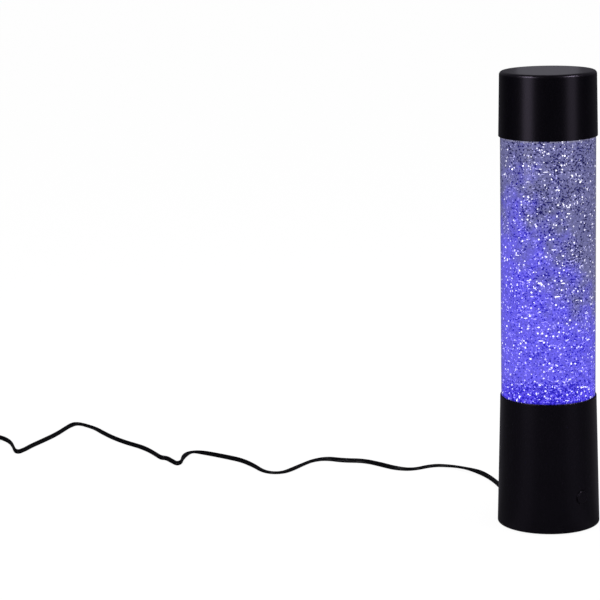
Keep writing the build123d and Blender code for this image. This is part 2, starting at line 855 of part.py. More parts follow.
# Power switch behind the button: square housing, its pins and its round plunger
plunger_bore_depth = plunger_hidden_length + button_travel + sliding_clearance
with BuildPart() as power_switch:
    with BuildSketch(Plane.front.offset(board_front)):
        with Locations((0, button_height)):
            Rectangle(switch_size, switch_size)
    extrude(amount=switch_depth)
    chamfer(power_switch.faces().sort_by(Axis.Y)[0].edges(), switch_bezel)
    with BuildSketch(Plane.front.offset(switch_front)):
        with Locations((0, button_height)):
            Circle(plunger_radius + running_clearance)
    extrude(amount=-plunger_bore_depth, mode=Mode.SUBTRACT)

with BuildPart() as switch_pins:
    with BuildSketch(Plane.front.offset(board_front)):
        with Locations(*switch_pin_places):
            Circle(switch_pin_radius)
    extrude(amount=-board_thickness - switch_pin_proud)

with BuildPart() as switch_plunger:
    with BuildSketch(Plane.front.offset(switch_front - plunger_hidden_length)):
        with Locations((0, button_height)):
            Circle(plunger_radius)
    extrude(amount=plunger_hidden_length + button_inner_face - switch_front + plunger_seat_depth)

# Push button: domed cap with a flange that the guide holds in
with BuildPart() as push_button:
    with BuildSketch(Plane.front.offset(button_inner_face)):
        with Locations((0, button_height)):
            Circle(button_radius)
    extrude(amount=button_face - button_inner_face)
    fillet(push_button.edges().group_by(Axis.Y)[0], button_edge_fillet)
    with BuildSketch(Plane.front.offset(button_inner_face)):
        with Locations((0, button_height)):
            Circle(button_flange_radius)
    extrude(amount=button_flange_thickness)
    with BuildSketch(Plane.front.offset(button_inner_face)):
        with Locations((0, button_height)):
            Circle(plunger_radius + fitting_clearance)
    extrude(amount=plunger_seat_depth + fitting_clearance, mode=Mode.SUBTRACT)

# Parts on the control board's back
with BuildPart() as control_chip:
    with BuildSketch(Plane.back.offset(-board_back)):
        with Locations((chip_offset, chip_place_height)):
            Rectangle(chip_width, chip_height)
    extrude(amount=chip_thickness)

with BuildPart() as capacitor:
    with BuildSketch(Plane.back.offset(-board_back)):
        with Locations((-capacitor_offset, chip_place_height)):
            Circle(capacitor_radius)
    extrude(amount=capacitor_length)
    fillet(capacitor.edges().group_by(Axis.Y)[-1], capacitor_groove_radius)

socket_places = [(side * socket_offset, socket_place_height) for side in (-1, 1)]
with BuildPart() as wire_sockets:
    with BuildSketch(Plane.back.offset(-board_back)):
        with Locations(*socket_places):
            Rectangle(socket_width, socket_height)
    extrude(amount=socket_depth)

# Wires from the sockets to the motor's terminals and to the light board's underside
socket_face = -board_back + socket_depth
motor_wire_routes = []
for side in (-1, 1):
    start_x = -socket_offset + side * wire_gap / 2
    motor_wire_routes.append(
        [
            (start_x, socket_face, socket_place_height),
            (start_x, socket_face + wire_run, socket_place_height),
            (side * terminal_offset, -wire_run, end_cap_bottom - terminal_length - wire_run * 2),
            (side * terminal_offset, 0, end_cap_bottom - terminal_length - wire_run),
            (side * terminal_offset, 0, end_cap_bottom - terminal_length),
        ]
    )
light_wire_routes = []
for side in (-1, 1):
    wire_x = socket_offset + side * wire_gap / 2
    light_wire_routes.append(
        [
            (wire_x, socket_face, socket_place_height),
            (wire_x, socket_face + wire_run, socket_place_height),
            (wire_x, socket_face + wire_run, socket_place_height + wire_run * 2),
            (wire_x, -light_circle_radius + wire_run, light_board_bottom - wire_run * 3),
            (wire_x, -light_circle_radius + wire_run, light_board_bottom),
        ]
    )
motor_wires = [wire_part(route, wire_radius) for route in motor_wire_routes]
light_wires = [wire_part(route, wire_radius) for route in light_wire_routes]

# Cord bush: body through the wall, flanges inside and out, and a grooved, tapering boot
groove_step = boot_length / (boot_groove_count + 1)
with BuildPart() as cord_bush:
    with BuildSketch(Plane(origin=(0, 0, lead_height), x_dir=(0, 1, 0), z_dir=(1, 0, 0))):
        with BuildLine():
            Polyline(
                (bush_inner_end, 0),
                (bush_inner_end, bush_flange_radius),
                (bush_inner_seat, bush_flange_radius),
                (bush_inner_seat, bush_body_radius),
                (bush_outer_seat, bush_body_radius),
                (bush_outer_seat, bush_flange_radius),
                (boot_start, bush_flange_radius),
                (boot_start, bush_body_radius),
                (boot_end, boot_end_radius),
                (boot_end, 0),
                close=True,
            )
        make_face()
        for index in range(1, boot_groove_count + 1):
            groove_distance = boot_start + index * groove_step
            boot_slope = (boot_end_radius - bush_body_radius) / boot_length
            groove_top = bush_body_radius + boot_slope * index * groove_step
            with Locations((groove_distance, groove_top)):
                Rectangle(boot_groove_width, boot_groove_depth * 2, mode=Mode.SUBTRACT)
    revolve(axis=Axis((0, 0, lead_height), (0, 1, 0)))

# Clamp that holds the inner lead down on the plate's saddle
clamp_bottom = lead_height + lead_radius + fitting_clearance
with BuildPart() as cord_clamp:
    with BuildSketch(Plane.XY.offset(clamp_bottom)):
        with Locations((0, clamp_distance)):
            SlotOverall(clamp_length, clamp_width)
        with Locations(*clamp_places):
            Circle(small_shank_radius + fitting_clearance, mode=Mode.SUBTRACT)
    extrude(amount=clamp_thickness)
    with BuildSketch(Plane.XY.offset(clamp_bottom)):
        with Locations(*clamp_places):
            Circle(small_shank_radius + clamp_thickness / 2)
            Circle(small_shank_radius + fitting_clearance, mode=Mode.SUBTRACT)
    extrude(amount=saddle_height - clamp_bottom)

clamp_screws = pan_screws(
    Plane.XY.offset(clamp_bottom + clamp_thickness),
    clamp_places,
    small_shank_radius,
    clamp_bottom + clamp_thickness - saddle_height + small_screw_grip - cut_overrun,
    small_head_radius,
    small_head_height,
)

# Inner lead, from the bush under the clamp to the control board's back
inner_lead_points = [
    (0, bush_inner_end, lead_height),
    (0, clamp_distance - clamp_width, lead_height),
    (2, 4, 14),
    (3, -8, 17),
    (3, -board_back, 17),
]
inner_lead = wire_part(inner_lead_points, lead_radius)

# Free stretch of the lead across the table, then its coil: points chosen by hand
floor = lead_radius
coil_floor = lead_radius + tie_thickness + tie_floor_gap
lead_points = [
    (0, boot_end, lead_height),
    (0, 58.5, lead_height),
    (6, 66.5, 10),
    (14, 74.5, 7),
    (21.5, 82.5, 4.5),
    (27, 91, 2.6),
    (31.5, 101.5, 1.8),
    (35.5, 113, floor),
    (38.5, 125.5, floor),
    (40, 137.5, floor),
    (39.5, 152, floor),
    (34.5, 165.5, floor),
    (23.5, 175.5, floor),
    (3, 177, floor),
    (-6.5, 188.5, floor),
    (-9.5, 205.5, floor),
    (-15, 222, floor),
    (-28, 234, floor),
    (-34.5, 249.5, floor),
    (-46.5, 253.5, floor),
    (-61.5, 248, floor),
    (-75, 241.5, floor),
    (-87, 238.5, floor),
    (-95.5, 243.5, floor),
    (-98, 254, floor),
    (-95, 271.5, floor),
    (-94, 291.5, floor),
    (-98.2, 311.5, floor),
    (-103, 329, floor),
    (-106, 338, floor),
    (-109.5, 343, floor),
    (-116, 343, floor),
    (-124, 337, floor),
    (-131, 330, floor),
    (-136, 322.6, floor),
    (-139.2, 318.2, floor),
    (-141.3, 316.1, floor),
    (-144, 315.7, floor),
    (-146.4, 317.1, floor),
    (-147.5, 319.7, floor),
    (-146.8, 323.2, floor),
    (-144.7, 329, floor),
    (-141.2, 337, floor),
    (-142.3, 345.5, floor),
    (-141.5, 356.5, floor),
    (-139.5, 370.5, floor),
    (-139, 387, floor),
    (-141, 405.5, floor),
    (-142, 427, floor),
    (-139.8, 449.5, floor),
    (-136.8, 468, floor),
    (-136, 484, floor),
    (-138.3, 493.5, floor),
    (-143.3, 497.8, floor),
    (-150, 494.3, floor),
    (-159.5, 485, floor),
    (-175, 473, floor),
    (-195, 462, floor),
    (-211.5, 454, floor),
    (-221, 447, floor),
    (-225.5, 443.3, floor),
    (-228.4, 440.3, floor),
    (-231.4, 440.7, floor),
    (-233, 443.2, floor),
    (-231.3, 449, floor),
    (-227.3, 458.6, floor),
    (-223.3, 470.5, floor),
    (-220.5, 484, (floor + coil_floor) / 2),
    (-219.5, 499, coil_floor),
    (-219.5, 520, coil_floor),
]


def spiral_wire():
    """Centre line of a two-layer coil: half turns that draw in, a climbing half turn, half turns that run out."""
    entry = Vector(*lead_points[-1])
    end_run = lead_radius * 2
    place = entry + Vector(0, end_run, 0)
    heading = Vector(0, 1, 0)
    edges = [Edge.make_line(entry, place)]
    width = coil_radius * 2
    side = -1
    for index in range(coil_half_turns_in_layer):
        far = place + Vector(side * width, 0, 0)
        middle = (place + far) * 0.5 + heading * (width / 2)
        edges.append(Edge.make_three_point_arc(place, middle, far))
        place = far
        heading = heading * -1
        side = -side
        width -= coil_pitch
    half_width = width / 2
    half_rise = coil_layer_rise / 2
    reach = math.sqrt(half_width**2 + half_rise**2)
    crest = place + Vector(side * half_width, 0, half_rise) + heading * reach
    far = place + Vector(side * width, 0, coil_layer_rise)
    edges.append(Edge.make_tangent_arc(place, heading, crest))
    edges.append(Edge.make_tangent_arc(crest, edges[-1] % 1, far))
    place = far
    heading = heading * -1
    side = -side
    for index in range(coil_half_turns_in_layer):
        width += coil_pitch
        far = place + Vector(side * width, 0, 0)
        middle = (place + far) * 0.5 + heading * (width / 2)
        edges.append(Edge.make_three_point_arc(place, middle, far))
        place = far
        heading = heading * -1
        side = -side
    edges.append(Edge.make_line(place, place + heading * end_run))
    return Wire(edges)


def least_gap(wire, radius, samples):
    """Least gap between a wound tube's surface and itself, on points spaced evenly along its centre line."""
    points = [wire @ (index / samples) for index in range(samples + 1)]
    apart = math.ceil(samples * radius * math.pi * 2 / wire.length)
    gaps = []
    for index, point in enumerate(points):
        for other in points[index + apart :]:
            gaps.append((point - other).length - radius * 2)
    return min(gaps)


coil_wire = spiral_wire()
with BuildPart() as lead_coil:
    with BuildSketch(Plane(origin=coil_wire @ 0, z_dir=coil_wire % 0)):
        Circle(lead_radius)
    sweep(path=coil_wire)

# Tie: a band round the four strands of the coil's near side, its free end lapped over the top
tie_x = lead_points[-1][0] - coil_radius
tie_y = lead_points[-1][1] + lead_radius * 2 - coil_radius + coil_pitch
tie_inner_width = coil_pitch + (lead_radius + tie_side_gap) * 2
tie_inner_height = tie_floor_gap + coil_layer_rise + lead_radius * 2 + tie_side_gap
tie_plane = Plane(origin=(tie_x - tie_width / 2, tie_y, 0), x_dir=(0, 1, 0), z_dir=(1, 0, 0))
with BuildPart() as coil_tie:
    with BuildSketch(tie_plane):
        with Locations((0, tie_thickness + tie_inner_height / 2)):
            RectangleRounded(
                tie_inner_width + tie_thickness * 2, tie_inner_height + tie_thickness * 2, lead_radius + tie_thickness
            )
            RectangleRounded(tie_inner_width, tie_inner_height, lead_radius, mode=Mode.SUBTRACT)
        with Locations((0, tie_inner_height + tie_thickness * 2.5)):
            Rectangle(tie_lap_length, tie_thickness)
    extrude(amount=tie_width)

lead = wire_part(lead_points, lead_radius)

# Last stretch, from the coil down to the plug
coil_end = coil_wire @ 1
plug_axis_height = plug_body_height / 2
plug_turn_height = (coil_end.Z + plug_axis_height) / 2
lead_end_points = [
    (coil_end.X, coil_end.Y, coil_end.Z),
    (coil_end.X, coil_end.Y - plug_approach_step, coil_end.Z),
    (coil_end.X - plug_offset * plug_turn_share, coil_end.Y - plug_approach_step * 2, plug_turn_height),
    (coil_end.X - plug_offset, coil_end.Y - plug_approach_step * 3, plug_axis_height),
    (coil_end.X - plug_offset, coil_end.Y - plug_approach_step * 4, plug_axis_height),
]
lead_end = wire_part(lead_end_points, lead_radius)

# Plug: moulded body with a boot, metal shell, tongue and contacts, lying flat
plug_start = Vector(*lead_end_points[-1])
plug_plane = Plane(origin=plug_start, x_dir=(1, 0, 0), z_dir=(0, -1, 0))
plug_front = plug_plane.offset(plug_boot_length + plug_body_length)
with BuildPart() as plug_body:
    with BuildSketch(plug_plane):
        Circle(plug_boot_radius)
    with BuildSketch(plug_plane.offset(plug_boot_length)):
        Circle(plug_body_height / 2 - plug_body_fillet / 2)
    loft()
    with BuildSketch(plug_plane.offset(plug_boot_length)):
        Rectangle(plug_body_width, plug_body_height)
    extrude(amount=plug_body_length)
    fillet(plug_body.edges().filter_by(Axis.Y), plug_body_fillet)
    with BuildSketch(plug_front):
        Rectangle(plug_shell_width + seat_gap, plug_shell_height + seat_gap)
    extrude(amount=-plug_shell_seat, mode=Mode.SUBTRACT)

with BuildPart() as plug_shell:
    with BuildSketch(plug_front.offset(-plug_shell_seat)) as shell_outline:
        Rectangle(plug_shell_width, plug_shell_height)
        fillet(shell_outline.vertices(), plug_shell_wall)
        offset(amount=-plug_shell_wall, kind=Kind.INTERSECTION, mode=Mode.SUBTRACT)
    extrude(amount=plug_shell_length + plug_shell_seat)
    with BuildSketch(Plane.XY.offset(plug_start.Z)):
        window_y = plug_front.origin.Y - plug_shell_length / 2
        with Locations(
            (plug_start.X - plug_window_offset, window_y), (plug_start.X + plug_window_offset, window_y)
        ):
            Rectangle(plug_window_size, plug_window_size)
    extrude(amount=plug_body_height / 2, both=True, mode=Mode.SUBTRACT)

tongue_bottom = -plug_shell_height / 2 + plug_shell_wall + fitting_clearance
with BuildPart() as plug_tongue:
    with BuildSketch(plug_front.offset(-plug_shell_seat)):
        with Locations((0, tongue_bottom + plug_tongue_height / 2)):
            Rectangle(plug_shell_width - plug_shell_wall * 2 - fitting_clearance * 2, plug_tongue_height)
    extrude(amount=plug_shell_length + plug_shell_seat - plug_tongue_inset)

with BuildPart() as plug_contacts:
    with BuildSketch(plug_front.offset(plug_shell_length - plug_tongue_inset * 2)):
        with GridLocations(contact_pitch, 0, contact_count, 1):
            with Locations((0, tongue_bottom + plug_tongue_height + contact_thickness / 2)):
                Rectangle(contact_width, contact_thickness)
    extrude(amount=-contact_length)

parts = {
    "base_shell": base_shell.part,
    "base_plate": base_plate.part,
    "rubber_feet": rubber_feet.part,
    "plate_screws": plate_screws,
    "tank": tank.part,
    "tank_gasket": tank_gasket.part,
    "tank_lid": tank_lid.part,
    "lid_seal": lid_seal.part,
    "fill_plug": fill_plug.part,
    "cap": cap.part,
    "liquid": liquid.part,
    "impeller": impeller.part,
    "impeller_magnets": impeller_magnets.part,
    "impeller_pin": impeller_pin.part,
    "magnet_carrier": magnet_carrier.part,
    "drive_magnets": drive_magnets.part,
    "motor_shaft": motor_shaft.part,
    "motor_can": motor_can.part,
    "motor_bush": motor_bush.part,
    "motor_end_cap": motor_end_cap.part,
    "motor_terminals": motor_terminals.part,
    "motor_bracket": motor_bracket.part,
    "motor_screws": motor_screws,
    "bracket_screws": bracket_screws,
    "light_board": light_board.part,
    "light_chips": light_chips.part,
    "light_board_screws": light_board_screws,
    "control_board": control_board.part,
    "control_board_screws": control_board_screws,
    "power_switch": power_switch.part,
    "switch_pins": switch_pins.part,
    "switch_plunger": switch_plunger.part,
    "push_button": push_button.part,
    "control_chip": control_chip.part,
    "capacitor": capacitor.part,
    "wire_sockets": wire_sockets.part,
    "motor_wires": Compound(motor_wires),
    "light_wires": Compound(light_wires),
    "cord_bush": cord_bush.part,
    "cord_clamp": cord_clamp.part,
    "clamp_screws": clamp_screws,
    "inner_lead": inner_lead,
    "lead": lead,
    "lead_coil": lead_coil.part,
    "coil_tie": coil_tie.part,
    "lead_end": lead_end,
    "plug_body": plug_body.part,
    "plug_shell": plug_shell.part,
    "plug_tongue": plug_tongue.part,
    "plug_contacts": plug_contacts.part,
}

os.makedirs("parts", exist_ok=True)
for name, part in parts.items():
    part.label = name
    export_step(part, f"parts/{name}.step")

free_run = sum((Vector(*b) - Vector(*a)).length for a, b in zip(lead_points, lead_points[1:]))
end_run = sum((Vector(*b) - Vector(*a)).length for a, b in zip(lead_end_points, lead_end_points[1:]))
print("lead corner radii", [round(radius, 1) for radius in corner_radii(lead_points)])
print("least gap in the coil", round(least_gap(coil_wire, lead_radius, 900), 2))
print("lead about", round(free_run + coil_wire.length + end_run), "mm long, coil", round(coil_wire.length))
print("tube volume shares", round(lead.volume / (math.pi * lead_radius**2 * free_run), 3))
print("coil volume share", round(lead_coil.part.volume / (math.pi * lead_radius**2 * coil_wire.length), 4))
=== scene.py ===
import json
import math
import random

import bmesh
import bpy
from mathutils import Matrix, Vector, noise


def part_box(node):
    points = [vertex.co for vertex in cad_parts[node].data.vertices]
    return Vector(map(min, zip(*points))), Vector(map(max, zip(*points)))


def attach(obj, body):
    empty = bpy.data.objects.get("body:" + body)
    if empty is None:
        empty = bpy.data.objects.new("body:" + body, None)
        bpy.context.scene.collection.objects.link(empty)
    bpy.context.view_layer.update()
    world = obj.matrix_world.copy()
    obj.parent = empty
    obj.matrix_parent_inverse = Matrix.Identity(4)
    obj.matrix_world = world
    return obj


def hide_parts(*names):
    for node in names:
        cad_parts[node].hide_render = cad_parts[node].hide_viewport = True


# A glitter lamp dressed over its CAD model. Blender works in metres, and a size is millimetres times mm,
# apart from the lead's route and coil, in plain millimetres, and the studio, in metres.
# Z is up, the origin is on the table under the lamp's axis, the button faces -Y and the lead leaves at +Y.
mm = 0.001

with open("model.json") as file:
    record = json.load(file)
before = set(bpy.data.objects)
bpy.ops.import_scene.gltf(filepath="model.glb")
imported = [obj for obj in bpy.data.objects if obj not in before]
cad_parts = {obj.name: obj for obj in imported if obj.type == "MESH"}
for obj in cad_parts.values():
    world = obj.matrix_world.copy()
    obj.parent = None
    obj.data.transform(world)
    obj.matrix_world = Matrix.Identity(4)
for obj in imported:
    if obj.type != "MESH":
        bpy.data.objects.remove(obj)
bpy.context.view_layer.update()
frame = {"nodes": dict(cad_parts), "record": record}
bpy.ops.object.select_all(action="DESELECT")

# Camera, fitted to the lamp's outline in the photograph: angles in degrees, focal length in pixels
camera_place = Vector((-1134.675, -1305.294, 528.709)) * mm
camera_azimuth = 34.725
camera_down = 11.489
camera_roll = -1.332
photo_side = 600
photo_focal_length = 2303.7
sensor_width = 36.0
nearest_seen = 50 * mm
farthest_seen = 100000 * mm

# Places on the lamp, from the CAD model
tank_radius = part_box("tank")[1].x
rim_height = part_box("base_shell")[1].z
cap_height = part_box("cap")[0].z
cap_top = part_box("cap")[1].z
liquid_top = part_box("liquid")[1].z
liquid_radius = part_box("liquid")[1].x
impeller_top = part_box("impeller_pin")[1].z

# Towards the camera, and the direction that is to the right in the photograph, both level
to_camera = Vector((camera_place.x, camera_place.y, 0)).normalized()
photo_right = Vector((-to_camera.y, to_camera.x, 0))

wall_thickness = tank_radius - liquid_radius

# Cloud: the column of liquid that far flakes crowd
cloud_radius = liquid_radius - 1.1 * mm
cloud_bottom = impeller_top + 2.5 * mm
cloud_top = liquid_top - 1.5 * mm
cloud_swell = 0.3 * mm
cloud_swell_size = 12 * mm
cloud_sides = 96
cloud_rings = 60

# Flakes, in the layer between the cloud and the tank's wall
flakes_inner_radius = cloud_radius
flakes_outer_radius = liquid_radius - 0.2 * mm
flakes_bottom = cloud_bottom + mm
flakes_top = liquid_top - 2 * mm
flake_thickness_share = 0.12
flake_stray_share = 0.8
flake_wall_gap = 0.05 * mm
streak_length_shares = (2.0, 3.4)
streak_height_share = 0.7

# Crowding of the flakes: sizes of the drifts that stirring makes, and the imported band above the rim
glow_drift_size = 13 * mm
bright_drift_size = 9 * mm
dim_drift_size = 7 * mm
packed_band_share = 0.08

# Lead: a flat two-core flex, two round cores joined by a web
lead_core_radius = 1.0 * mm
lead_web_share = 0.45
lead_points_round_core = 11
lead_air_share = 0.1

# Coil of the lead, its strap, and the run from the coil to the plug, in plain millimetres
coil_straight = 3.0
coil_lift = 0.6
coil_layer_rise = 2.3
coil_radius = 26.4
coil_unevenness = 0.25
coil_pitch = 4.6
coil_half_turns_in_layer = 4
coil_points_in_half_turn = 7
strap_air = 1.1
strap_wall = 0.5
strap_rounding = 1.2
strap_setback = 1.2
coil_end_straight = 3
coil_end_run = 12
plug_bend = 23
plug_bend_share = 0.35
plug_run = 10

# Studio, in metres. A bearing is in degrees from the camera's, positive to the photograph's right
floor_side = 60
floor_drop = 0.05 * mm
tent_radius = 1.1
tent_height = 1.4
tent_lift = 0.2 * mm
tent_sides = 64
card_width = 0.05
card_height = 0.24
card_distance = 0.13
card_lift = 5 * mm
left_bearing = -47
right_bearing = 56
softbox_distance = 0.9
softbox_middle = 0.7
softbox_height = 1.2
top_softbox_height = 1.5
top_softbox_side = 0.9
high_softbox_distance = 0.85
high_softbox_rise = 0.7
high_softbox_width = 0.4
high_softbox_height = 0.3

# Route of the lead: x, y and the height of its middle in plain millimetres, and the tilt in degrees of its
# flat section. 0 lies flat, 90 stands on its edge, and below 0 the left side is the higher one
lead_route = [
    (0, 50.7, 12, 90),
    (0, 58.5, 12, 90),
    (6, 66.5, 10, 85),
    (14, 74.5, 7, 80),
    (21.5, 82.5, 4.5, 75),
    (27.3, 91.4, 2.6, 70),
    (30.8, 100.5, 3, 75),
    (35.3, 112.6, 2.9, 75),
    (38.4, 125.2, 3, 70),
    (39.3, 136.2, 3.1, 25),
    (38.5, 150.3, 2.8, -14),
    (35.3, 165.9, 1.8, 0),
    (26.3, 178.4, 1, 10),
    (5, 178.6, 1, 0),
    (-4.8, 189.8, 1, 40),
    (-7.9, 206.6, 1, 80),
    (-12, 224.8, 1, 90),
    (-25, 236.7, 1, 80),
    (-31.4, 252.2, 1, 40),
    (-43.4, 256.2, 1, 0),
    (-58.4, 250.7, 1, 0),
    (-71.9, 244.2, 1, 20),
    (-83.8, 241.2, 1, 0),
    (-92.3, 246.2, 1, 0),
    (-94.8, 256.7, 1, 0),
    (-91.8, 274.1, 1, 20),
    (-91.3, 293.2, 1, 60),
    (-96.1, 312.2, 1, 60),
    (-101, 329.5, 1, 50),
    (-103.8, 338.5, 1, 30),
    (-106.1, 345.5, 1, 0),
    (-111.5, 346, 1, 0),
    (-119.5, 339.5, 1, 40),
    (-126.6, 332.1, 1, 70),
    (-130.7, 326.9, 1, 90),
    (-133.8, 322.9, 1, 90),
    (-136.8, 320.4, 1, 90),
    (-139.6, 319.8, 1, 85),
    (-140.3, 322.6, 1, 75),
    (-139.5, 327, 1, 70),
    (-139.1, 330.6, 1, 65),
    (-138.1, 336.2, 1, 60),
    (-138, 341.8, 1, 55),
    (-140.9, 344.9, 1, 70),
    (-138.7, 357.2, 1, 85),
    (-136.2, 372.7, 1, 75),
    (-135.5, 389.4, 1, 50),
    (-138, 407, 1, 50),
    (-138.4, 429.3, 1, 40),
    (-136.2, 451.8, 1, 30),
    (-133.2, 470.3, 1, 15),
    (-133.9, 483.1, 1, 10),
    (-135, 492, 1, 10),
    (-138.6, 496.7, 1, 30),
    (-145.4, 493.8, 1, 65),
    (-154.7, 487, 1, 85),
    (-171.2, 474, 1, 70),
    (-192.4, 461.7, 1, 60),
    (-209.2, 452.8, 1, 50),
    (-218.2, 446.6, 1, 45),
    (-222, 444.7, 1, 50),
    (-225.3, 442.6, 1, 60),
    (-227.8, 442.6, 1, 70),
    (-228.4, 445.9, 1, 80),
    (-226.3, 452.3, 1, 90),
    (-221.7, 463.4, 1, 90),
    (-217.6, 475.9, 1, 85),
    (-216.1, 488.9, 1.3, 65),
    (-216.6, 502.7, 1.6, 30),
    (-219.5, 520, 1.6, 0),
]


def srgb(code):
    """Linear red, green, blue and alpha of a hex colour such as 1a1b20."""
    linear = []
    for place in (0, 2, 4):
        share = int(code[place : place + 2], 16) / 255
        linear.append(share / 12.92 if share <= 0.04045 else ((share + 0.055) / 1.055) ** 2.4)
    return linear + [1.0]


def add_node(tree, kind, inputs=(), output=0, **settings):
    """Adds a shader node and gives one of its outputs. An input takes a value or another node's output.

    A colour Mix node has its share in socket 0, its colours in 6 and 7, and its result in output 2.
    """
    node = tree.nodes.new("ShaderNode" + kind)
    for name, value in settings.items():
        setattr(node, name, value)
    for name, value in dict(inputs).items():
        if isinstance(value, bpy.types.NodeSocket):
            tree.links.new(value, node.inputs[name])
        else:
            node.inputs[name].default_value = value
    return node.outputs[output] if len(node.outputs) else node


def start_material(name):
    """A material with an empty node tree, that tree, and the place on the object that patterns read."""
    material = bpy.data.materials.new(name)
    material.use_nodes = True
    tree = material.node_tree
    tree.nodes.clear()
    return material, tree, add_node(tree, "TexCoord", output="Object")


def satin_black_abs():
    """ABS, injection moulded in a spark-eroded tool: near black, slightly violet, with soft highlights."""
    material, tree, place = start_material("satin_black_abs")
    # The eroded grain is about 0.1 mm, drawn at 0.5 mm so that it shows
    eroded = add_node(tree, "TexNoise", {"Vector": place, "Scale": 1 / (0.5 * mm), "Detail": 3})
    # Where the melt flowed, the black varies over about 30 mm
    flow = add_node(tree, "TexNoise", {"Vector": place, "Scale": 1 / (30 * mm), "Detail": 2})
    colour = add_node(tree, "Mix", {0: flow, 6: srgb("040306"), 7: srgb("06050a")}, 2, data_type="RGBA")
    roughness = add_node(tree, "MapRange", {"Value": eroded, "To Min": 0.25, "To Max": 0.32})
    relief = add_node(tree, "Bump", {"Height": eroded, "Strength": 0.06, "Distance": 0.02 * mm})
    surface = add_node(
        tree,
        "BsdfPrincipled",
        {
            "Base Color": colour,
            "Roughness": roughness,
            "IOR": 1.53,
            "Specular Tint": srgb("f2e6ff"),
            "Normal": relief,
        },
    )
    add_node(tree, "OutputMaterial", {"Surface": surface})
    return material


def pressed_rubber():
    """Nitrile rubber, pressed in a mould: dull black with a dusty, broken surface."""
    material, tree, place = start_material("pressed_rubber")
    # Dust gathers in specks of about 0.7 mm
    dust = add_node(tree, "TexNoise", {"Vector": place, "Scale": 1 / (0.7 * mm), "Detail": 4})
    colour = add_node(tree, "Mix", {0: dust, 6: srgb("0e0e10"), 7: srgb("1a1a1c")}, 2, data_type="RGBA")
    roughness = add_node(tree, "MapRange", {"Value": dust, "To Min": 0.62, "To Max": 0.8})
    relief = add_node(tree, "Bump", {"Height": dust, "Strength": 0.2, "Distance": 0.03 * mm})
    surface = add_node(
        tree,
        "BsdfPrincipled",
        {"Base Color": colour, "Roughness": roughness, "IOR": 1.52, "Normal": relief},
    )
    add_node(tree, "OutputMaterial", {"Surface": surface})
    return material


def soft_black_pvc():
    """Soft PVC, extruded or moulded: black, smooth and a little waxy, with faint waves in its gloss."""
    material, tree, place = start_material("soft_black_pvc")
    # The extruder leaves waves about 2.5 mm long
    waves = add_node(tree, "TexNoise", {"Vector": place, "Scale": 1 / (2.5 * mm), "Detail": 2})
    colour = add_node(tree, "Mix", {0: waves, 6: srgb("040406"), 7: srgb("08080b")}, 2, data_type="RGBA")
    roughness = add_node(tree, "MapRange", {"Value": waves, "To Min": 0.26, "To Max": 0.40})
    relief = add_node(tree, "Bump", {"Height": waves, "Strength": 0.1, "Distance": 0.04 * mm})
    surface = add_node(
        tree,
        "BsdfPrincipled",
        {"Base Color": colour, "Roughness": roughness, "Specular IOR Level": 0.22, "Normal": relief},
    )
    add_node(tree, "OutputMaterial", {"Surface": surface})
    return material


def cast_acrylic():
    """Cast acrylic tube, polished: clear, with hard bright reflections.

    Liquid wets the inside, so light bends only on the faces beyond the middle of the wall.
    """
    material, tree, place = start_material("cast_acrylic")
    level = add_node(tree, "VectorMath", {0: place, 1: (1, 1, 0)}, operation="MULTIPLY")
    radius = add_node(tree, "VectorMath", {0: level}, "Value", operation="LENGTH")
    middle_of_wall = tank_radius - wall_thickness / 2
    outside = add_node(tree, "Math", {0: radius, 1: middle_of_wall}, operation="GREATER_THAN")
    wet_face = add_node(tree, "BsdfTransparent")
    face = add_node(
        tree,
        "BsdfPrincipled",
        {"Base Color": srgb("fafaff"), "Roughness": 0.0, "IOR": 1.49, "Transmission Weight": 1.0},
    )
    mixed = add_node(tree, "MixShader", {0: outside, 1: wet_face, 2: face})
    add_node(tree, "OutputMaterial", {"Surface": mixed})
    return material


def blue_share(tree, place):
    """How blue the glow is, 0 for grey to 1: drifts of flakes, the height and the walls dim the light."""
    height = add_node(tree, "SeparateXYZ", {0: place}, "Z")
    bottom_and_top = {"From Min": rim_height, "From Max": cap_height}
    up = add_node(tree, "MapRange", {"Value": height, **bottom_and_top}, clamp=False)
    across = photo_right / tank_radius
    sideways = add_node(tree, "VectorMath", {0: place, 1: across}, "Value", operation="DOT_PRODUCT")
    # Further up, the blue reaches higher on the left than on the right
    slant = add_node(tree, "MapRange", {"Value": up, "From Min": 0.05, "From Max": 0.5, "To Max": 0.36})
    slanted = add_node(tree, "Math", {0: sideways, 1: slant, 2: up}, operation="MULTIPLY_ADD")
    drifts = add_node(tree, "TexNoise", {"Vector": place, "Scale": 1 / glow_drift_size, "Detail": 3})
    dimmed = add_node(tree, "MapRange", {"Value": drifts, "To Min": 0.42, "To Max": -0.42})
    level = add_node(tree, "Math", {0: slanted, 1: dimmed}, operation="ADD")
    # The upper part is greyer towards both walls
    off_middle = add_node(tree, "Math", {0: sideways}, operation="ABSOLUTE")
    side = add_node(tree, "MapRange", {"Value": off_middle, "From Min": 0.55, "From Max": 1.0})
    high = add_node(tree, "MapRange", {"Value": up, "From Min": 0.35, "From Max": 1.0})
    wall = add_node(tree, "Math", {0: side, 1: high}, operation="MULTIPLY")
    walled = add_node(tree, "Math", {0: wall, 1: 0.35, 2: level}, operation="MULTIPLY_ADD")
    share = add_node(
        tree,
        "MapRange",
        {"Value": walled, "From Min": 0.84, "From Max": 0.26, "To Min": 0.16, "To Max": 1.0},
        interpolation_type="SMOOTHSTEP",
    )
    kept = add_node(tree, "MapRange", {"Value": wall, "To Min": 1.0, "To Max": 0.7})
    return add_node(tree, "Math", {0: share, 1: kept}, operation="MULTIPLY")


